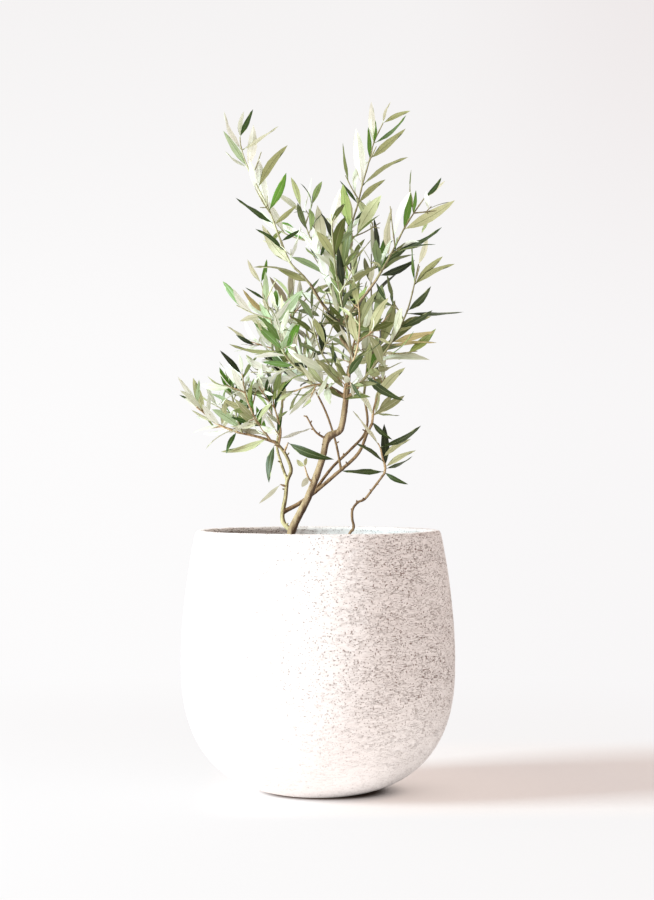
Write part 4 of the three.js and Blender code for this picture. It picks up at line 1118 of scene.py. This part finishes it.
# A form is its bow, sway, fold, twist in degrees and wave. A tone is its name and the colours of its
# upper side and underside. A finish is its roughness and gloss.
LEAF_FORMS = {
    "gentle": ((0.035, 0.03, 0.34, 6, 0.01), (0.06, -0.035, 0.26, -10, 0.014),
               (0.02, 0.05, 0.42, 14, 0.008), (-0.03, -0.02, 0.30, 8, 0.018),
               (0.075, 0.02, 0.38, -16, 0.012), (0.045, -0.05, 0.22, 20, 0.02)),
    "arched": ((0.15, 0.04, 0.36, 12, 0.01), (0.13, -0.05, 0.42, -18, 0.014),
               (0.17, 0.02, 0.30, 24, 0.01)),
}
LEAF_TONES = {
    "k": ("black_green", (0.016, 0.026, 0.008), (0.16, 0.20, 0.09)),
    "v": ("bottle_green", (0.028, 0.066, 0.009), (0.25, 0.32, 0.12)),
    "d": ("dark_green", (0.040, 0.062, 0.017), (0.31, 0.35, 0.18)),
    "g": ("young_green", (0.09, 0.21, 0.020), (0.36, 0.45, 0.16)),
    "m": ("mint_green", (0.125, 0.215, 0.055), (0.45, 0.59, 0.36)),
    "o": ("olive_green", (0.083, 0.105, 0.022), (0.35, 0.37, 0.175)),
    "s": ("sage", (0.133, 0.160, 0.048), (0.51, 0.53, 0.305)),
    "p": ("pale_sage", (0.27, 0.284, 0.14), (0.715, 0.725, 0.545)),
    "w": ("silver", (0.55, 0.588, 0.455), (0.815, 0.848, 0.76)),
    "t": ("tan_olive", (0.17, 0.145, 0.045), (0.48, 0.41, 0.20)),
    "b": ("dry_beige", (0.32, 0.28, 0.19), (0.34, 0.305, 0.225)),
}
RIB_SHARE_OF_UPPER = 0.62
LEAF_FINISHES = {"upper": (0.42, 0.25), "under": (0.72, 0.2), "rib": (0.55, 0.25)}
MOTTLE_NOISE = (130.0, 1.0)
DARKER, LIGHTER = 0.86, 1.14
UPPER, UNDER, RIB = 0, 1, 2


def leaf_half_width(part):
    """Half a leaf's width at a part of its length, as a share of its greatest width."""
    if part <= STALK_END:
        return STALK_HALF_WIDTH
    along = (part - STALK_END) / (1 - STALK_END)
    blade = 0.5 * math.sin(math.pi * along ** WIDEST_SHIFT) ** FULLNESS
    return max(STALK_HALF_WIDTH * (1 - along), blade)


def set_attribute(mesh, label, kind, domain, values):
    key = "vector" if kind == "FLOAT_VECTOR" else "value"
    mesh.attributes.new(label, kind, domain).data.foreach_set(key, values)


def leaf_form(name, bow, sway, fold, twist, wave):
    """One leaf a unit long along X and a unit wide, whose upper side faces +Z."""
    corners, sides, faces = [], [], []
    index = {}
    rows, columns = len(LEAF_STATIONS) - 1, len(LEAF_COLUMNS)
    for i, part in enumerate(LEAF_STATIONS[:-1]):
        half = leaf_half_width(part)
        arch = 4 * part * (1 - part)
        turn = math.radians(twist) * (part - TWIST_AT)
        for j, column in enumerate(LEAF_COLUMNS):
            across, out = half * column, abs(column)
            rise = fold * abs(across) / LEAF_SLIMNESS - EDGE_DROP * half * out ** 3
            rise += wave * math.sin(WAVES_ALONG * part + WAVES_ACROSS * column) * out
            rise += bow * arch + across * math.sin(turn) / LEAF_SLIMNESS
            if part > 0 and j in (RIB_COLUMN, RIB_COLUMN + 1):
                rise -= RIB_DEPTH
            for layer in (1, -1):
                if out == 1 and layer == -1:
                    index[i, j, -1] = index[i, j, 1]
                    continue
                skin = 0 if out == 1 else layer * BLADE_HALF_THICKNESS
                index[i, j, layer] = len(corners)
                sideways = across * math.cos(turn) + sway * LEAF_SLIMNESS * arch
                corners.append((part, sideways, rise + skin))
    tip = len(corners)
    corners.append((1, 0, 0))
    for i in range(rows):
        for j in range(columns - 1):
            for layer, side in ((1, UPPER), (-1, UNDER)):
                a, b = index[i, j, layer], index[i, j + 1, layer]
                onward = [index[i + 1, j, layer], index[i + 1, j + 1, layer]] if i < rows - 1 else [tip]
                faces.append([a, *onward, b][::layer])
                sides.append(RIB if j == RIB_COLUMN else side)
    faces.append([index[0, j, 1] for j in range(columns)]
                 + [index[0, j, -1] for j in range(columns - 2, 0, -1)])
    sides.append(RIB)
    mesh = mesh_of(name, corners, faces)
    set_attribute(mesh, "side", "INT", "FACE", sides)
    mesh.shade_smooth()
    margin = {index[i, j, 1] for i in range(rows) for j in (0, columns - 1)} | {tip}
    sharp = [margin.issuperset(edge.vertices) for edge in mesh.edges]
    set_attribute(mesh, "sharp_edge", "BOOLEAN", "EDGE", sharp)
    return bpy.data.objects.new(name, mesh)


def leaf_material(name, color, roughness, gloss):
    material, shader, place = plain_material(name, color, roughness, gloss)
    darker = [DARKER * value for value in color]
    lighter = [min(1.0, LIGHTER * value) for value in color]
    place.noise(*MOTTLE_NOISE).mix(darker, lighter).into(shader, "Base Color")
    return material


def leaf_rule():
    """A leaf of one of the forms on each point, laid along its direction with its upper side up."""
    tree, given, result = rule_tree("leaves_on_twigs", Forms="Collection", Upper="Material",
                                    Under="Material", Rib="Material")

    def named(label, kind="FLOAT_VECTOR"):
        return flow(tree, "GeometryNodeInputNamedAttribute", {"Name": label}, "Attribute", data_type=kind)

    forms = flow(tree, "GeometryNodeCollectionInfo", {"Collection": given["Forms"],
                                                      "Separate Children": True, "Reset Children": True})
    turn = flow(tree, "FunctionNodeAxesToRotation", {0: named("along"), 1: named("up")},
                primary_axis="X", secondary_axis="Z")
    laid = flow(tree, "GeometryNodeInstanceOnPoints",
                {"Points": given["Geometry"], "Instance": forms, "Pick Instance": True,
                 "Instance Index": named("form", "INT"), "Rotation": turn, "Scale": named("size")})
    skin = realized(laid)
    for side, label in ((UPPER, "Upper"), (UNDER, "Under"), (RIB, "Rib")):
        here = flow(tree, "FunctionNodeCompare", {2: named("side", "INT"), 3: side}, data_type="INT",
                    operation="EQUAL")
        skin = painted(skin, given[label], Selection=here)
    skin.into(result, "Geometry")
    return tree


def leaf_points(name, kept, first_form):
    """A point for each leaf, with its direction, upper side, size and form."""
    mesh = mesh_of(name, [tuple(leaf.root * MM) for leaf in kept])
    draw = seeded(len(kept) + 5)
    picks = [first_form[leaf.form] + int(draw() * len(LEAF_FORMS[leaf.form])) for leaf in kept]
    sizes = [(leaf.length * MM, leaf.width * MM, leaf.length * MM) for leaf in kept]
    for label, values in (("along", [leaf.along for leaf in kept]), ("up", [leaf.up for leaf in kept]),
                          ("size", sizes)):
        set_attribute(mesh, label, "FLOAT_VECTOR", "POINT", np.ravel(values))
    set_attribute(mesh, "form", "INT", "POINT", picks)
    return placed(name, mesh)


forms = bpy.data.collections.new("leaf_forms")
first_form = {}
for kind, shapes in LEAF_FORMS.items():
    first_form[kind] = len(forms.objects)
    for shape in shapes:
        forms.objects.link(leaf_form(f"form_{len(forms.objects)}", *shape))
growing = leaf_rule()
for tone, (label, upper, under) in LEAF_TONES.items():
    rib = [RIB_SHARE_OF_UPPER * a + (1 - RIB_SHARE_OF_UPPER) * b for a, b in zip(upper, under)]
    looks = {side: leaf_material(f"{label}_{side}", color, *LEAF_FINISHES[side])
             for side, color in (("upper", upper), ("under", under), ("rib", rib))}
    kept = [leaf for leaf in leaves if leaf.tone == tone]
    points = leaf_points(label + "_leaves", kept, first_form)
    blades_of_tone = made_by_rule(points, growing, forms=forms, **looks)
    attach(blades_of_tone, "root")
    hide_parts(*MASSES)
for form in list(forms.objects):
    bpy.data.objects.remove(form)
bpy.data.collections.remove(forms)

# Stage. A plain pale floor that fades into the same pale grey-white as the light round it, so that
# no horizon shows. It is not part of the object.
STUDIO_LEFT = (0.978, 0.970, 0.972)
STUDIO_RIGHT = (0.942, 0.928, 0.932)
STUDIO_HIGH = (0.907, 0.889, 0.889)
STUDIO_HIGH_RIGHT = (0.851, 0.808, 0.808)
TO_THE_RIGHT = (-0.12, 0.15)
HIGH_TO_THE_RIGHT = (0.02, 0.15)
UPWARD = (0.0, 0.24)
ROOM_LIGHT = (0.955, 0.83, 0.775)

# The floor that the camera sees is brighter where it is lit, glows warm near the pot in its shade
# and is dark right under it. All other rays see a warm light that is thrown back at the pot, dim
# under it and in its shadow. A range says from where to where, and then between which values if
# they aren't 0 and 1.
FLOOR_COLOR = (0.775, 0.770, 0.778)
LIT_FLOOR = (0.925, 0.915, 0.918)
LIT_FLOOR_SHARE = 0.8
SHADE_ACROSS = (-0.16, -0.04)
SHADE_FRONT = (-0.24, -0.12)
SHADE_BACK = (0.34, 0.55, 1.0, 0.0)
SHADE_GLOW = (0.97, 0.80, 0.71)
GLOW_STARTS = (0.08, 0.12)
GLOW_FADES = (0.12, 0.42, 0.3, 0.0)
CONTACT_SHADE = (0.10, 0.065, 0.05)
CONTACT_MIDDLE = (7 * MM, 0, 0)
OFF_THE_FOOT = (63 * MM, 84 * MM)
FLOOR_BOUNCE = (1.0, 0.95, 0.925)
DIM_BOUNCE_MIDDLE = (45 * MM, 0, 0)
BOUNCE_GROWS = (0.04, 0.13, 0.05, 1.5)
SHADOW_ACROSS = (0.05, 0.17)
SHADOW_SIDE = (0.10, 0.20, 0.40, 0.0)
FLOOR_HALF = 12.0
FADES_FAR_AWAY = (0.5, 1.5)


def studio_white(across):
    """The pale grey-white that is seen far away, a little greyer towards the right."""
    return across.between(*TO_THE_RIGHT).mix(STUDIO_LEFT, STUDIO_RIGHT)


def floor_material():
    """A pale floor for the camera, and for all other rays the light that it throws back."""
    material, shader, place = plain_material("pale_floor", FLOOR_COLOR, roughness=0.9, gloss=0.1)
    tree = place.tree
    x, y, away = place.part(0), place.part(1), place.vector("LENGTH", output=1)
    off_contact, off_dim = [place.vector("DISTANCE", middle, 1)
                            for middle in (CONTACT_MIDDLE, DIM_BOUNCE_MIDDLE)]
    open_floor = off_contact.between(*OFF_THE_FOOT)
    open_floor.mix(CONTACT_SHADE, FLOOR_COLOR).into(shader, "Base Color")
    in_shade = x.between(*SHADE_ACROSS) * y.between(*SHADE_FRONT) * y.between(*SHADE_BACK)
    by_pot = away.between(*GLOW_STARTS) * away.between(*GLOW_FADES)
    to_eye = flow(tree, "ShaderNodeNewGeometry", output="Incoming").part(0)
    seen = Flow(tree, shader.outputs[0])
    for share, color in (((1.0 - in_shade) * LIT_FLOOR_SHARE, LIT_FLOOR), (by_pot * in_shade, SHADE_GLOW),
                         (away.between(*FADES_FAR_AWAY), studio_white(to_eye * -1.0))):
        glow = flow(tree, "ShaderNodeEmission", {"Color": color})
        seen = flow(tree, "ShaderNodeMixShader", {0: share, 1: seen, 2: glow})
    shadow = x.between(*SHADOW_ACROSS) * abs(y).between(*SHADOW_SIDE)
    strength = off_dim.between(*BOUNCE_GROWS) * (1.0 - shadow)
    bounce = flow(tree, "ShaderNodeEmission", {"Color": FLOOR_BOUNCE, "Strength": strength})
    is_seen = flow(tree, "ShaderNodeLightPath", output="Is Camera Ray")
    both = flow(tree, "ShaderNodeMixShader", {0: is_seen, 1: bounce, 2: seen})
    both.into(tree.nodes["Material Output"], "Surface")
    material.cycles.emission_sampling = "NONE"
    return material


floor_corners = [(x * FLOOR_HALF, y * FLOOR_HALF, 0) for x, y in ((-1, -1), (1, -1), (1, 1), (-1, 1))]
floor = placed("floor", mesh_of("floor", floor_corners, [(0, 1, 2, 3)]))
floor.data.materials.append(floor_material())


def studio_world():
    """The pale room. Seen straight on it is a little greyer towards the top; its light is dimmer."""
    world = bpy.data.worlds.new("studio")
    world.use_nodes = True
    tree = world.node_tree
    way = flow(tree, "ShaderNodeTexCoord", output="Generated")
    across = way.part(0)
    above = across.between(*HIGH_TO_THE_RIGHT).mix(STUDIO_HIGH, STUDIO_HIGH_RIGHT)
    seen = way.part(2).between(*UPWARD).mix(studio_white(across), above)
    is_seen = flow(tree, "ShaderNodeLightPath", output="Is Camera Ray")
    is_seen.mix(ROOM_LIGHT, seen).into(tree.nodes["Background"], "Color")
    world.cycles.sampling_method = "NONE"
    return world


scene.world = studio_world()
scene.view_settings.view_transform = "Standard"

# Light. A large soft light stands at the left, a little to the front, and a weaker one further
# round to the front softens its edge. What they leave dark is lit by the pale room and floor.
AIM = Vector((0, 0, 0.42))
LIGHTS = {
    "key": {"round": 19, "above": 15, "away": 3.0, "size": 1.2, "power": 150, "color": (0.77, 0.95, 1.0)},
    "wrap": {"round": 60, "above": 0, "away": 3.2, "size": 2.0, "power": 16, "color": (1.0, 0.95, 0.92)},
}
for name, light in LIGHTS.items():
    lamp = bpy.data.lights.new(name, "AREA")
    lamp.size = light["size"]
    lamp.energy = light["power"]
    lamp.color = light["color"]
    lit_from, height = math.radians(light["round"]), math.radians(light["above"])
    towards = Vector((-math.cos(lit_from) * math.cos(height), -math.sin(lit_from) * math.cos(height),
                      math.sin(height)))
    stand = placed(name, lamp)
    stand.location = AIM + towards * light["away"]
    stand.rotation_euler = towards.to_track_quat("Z", "Y").to_euler()
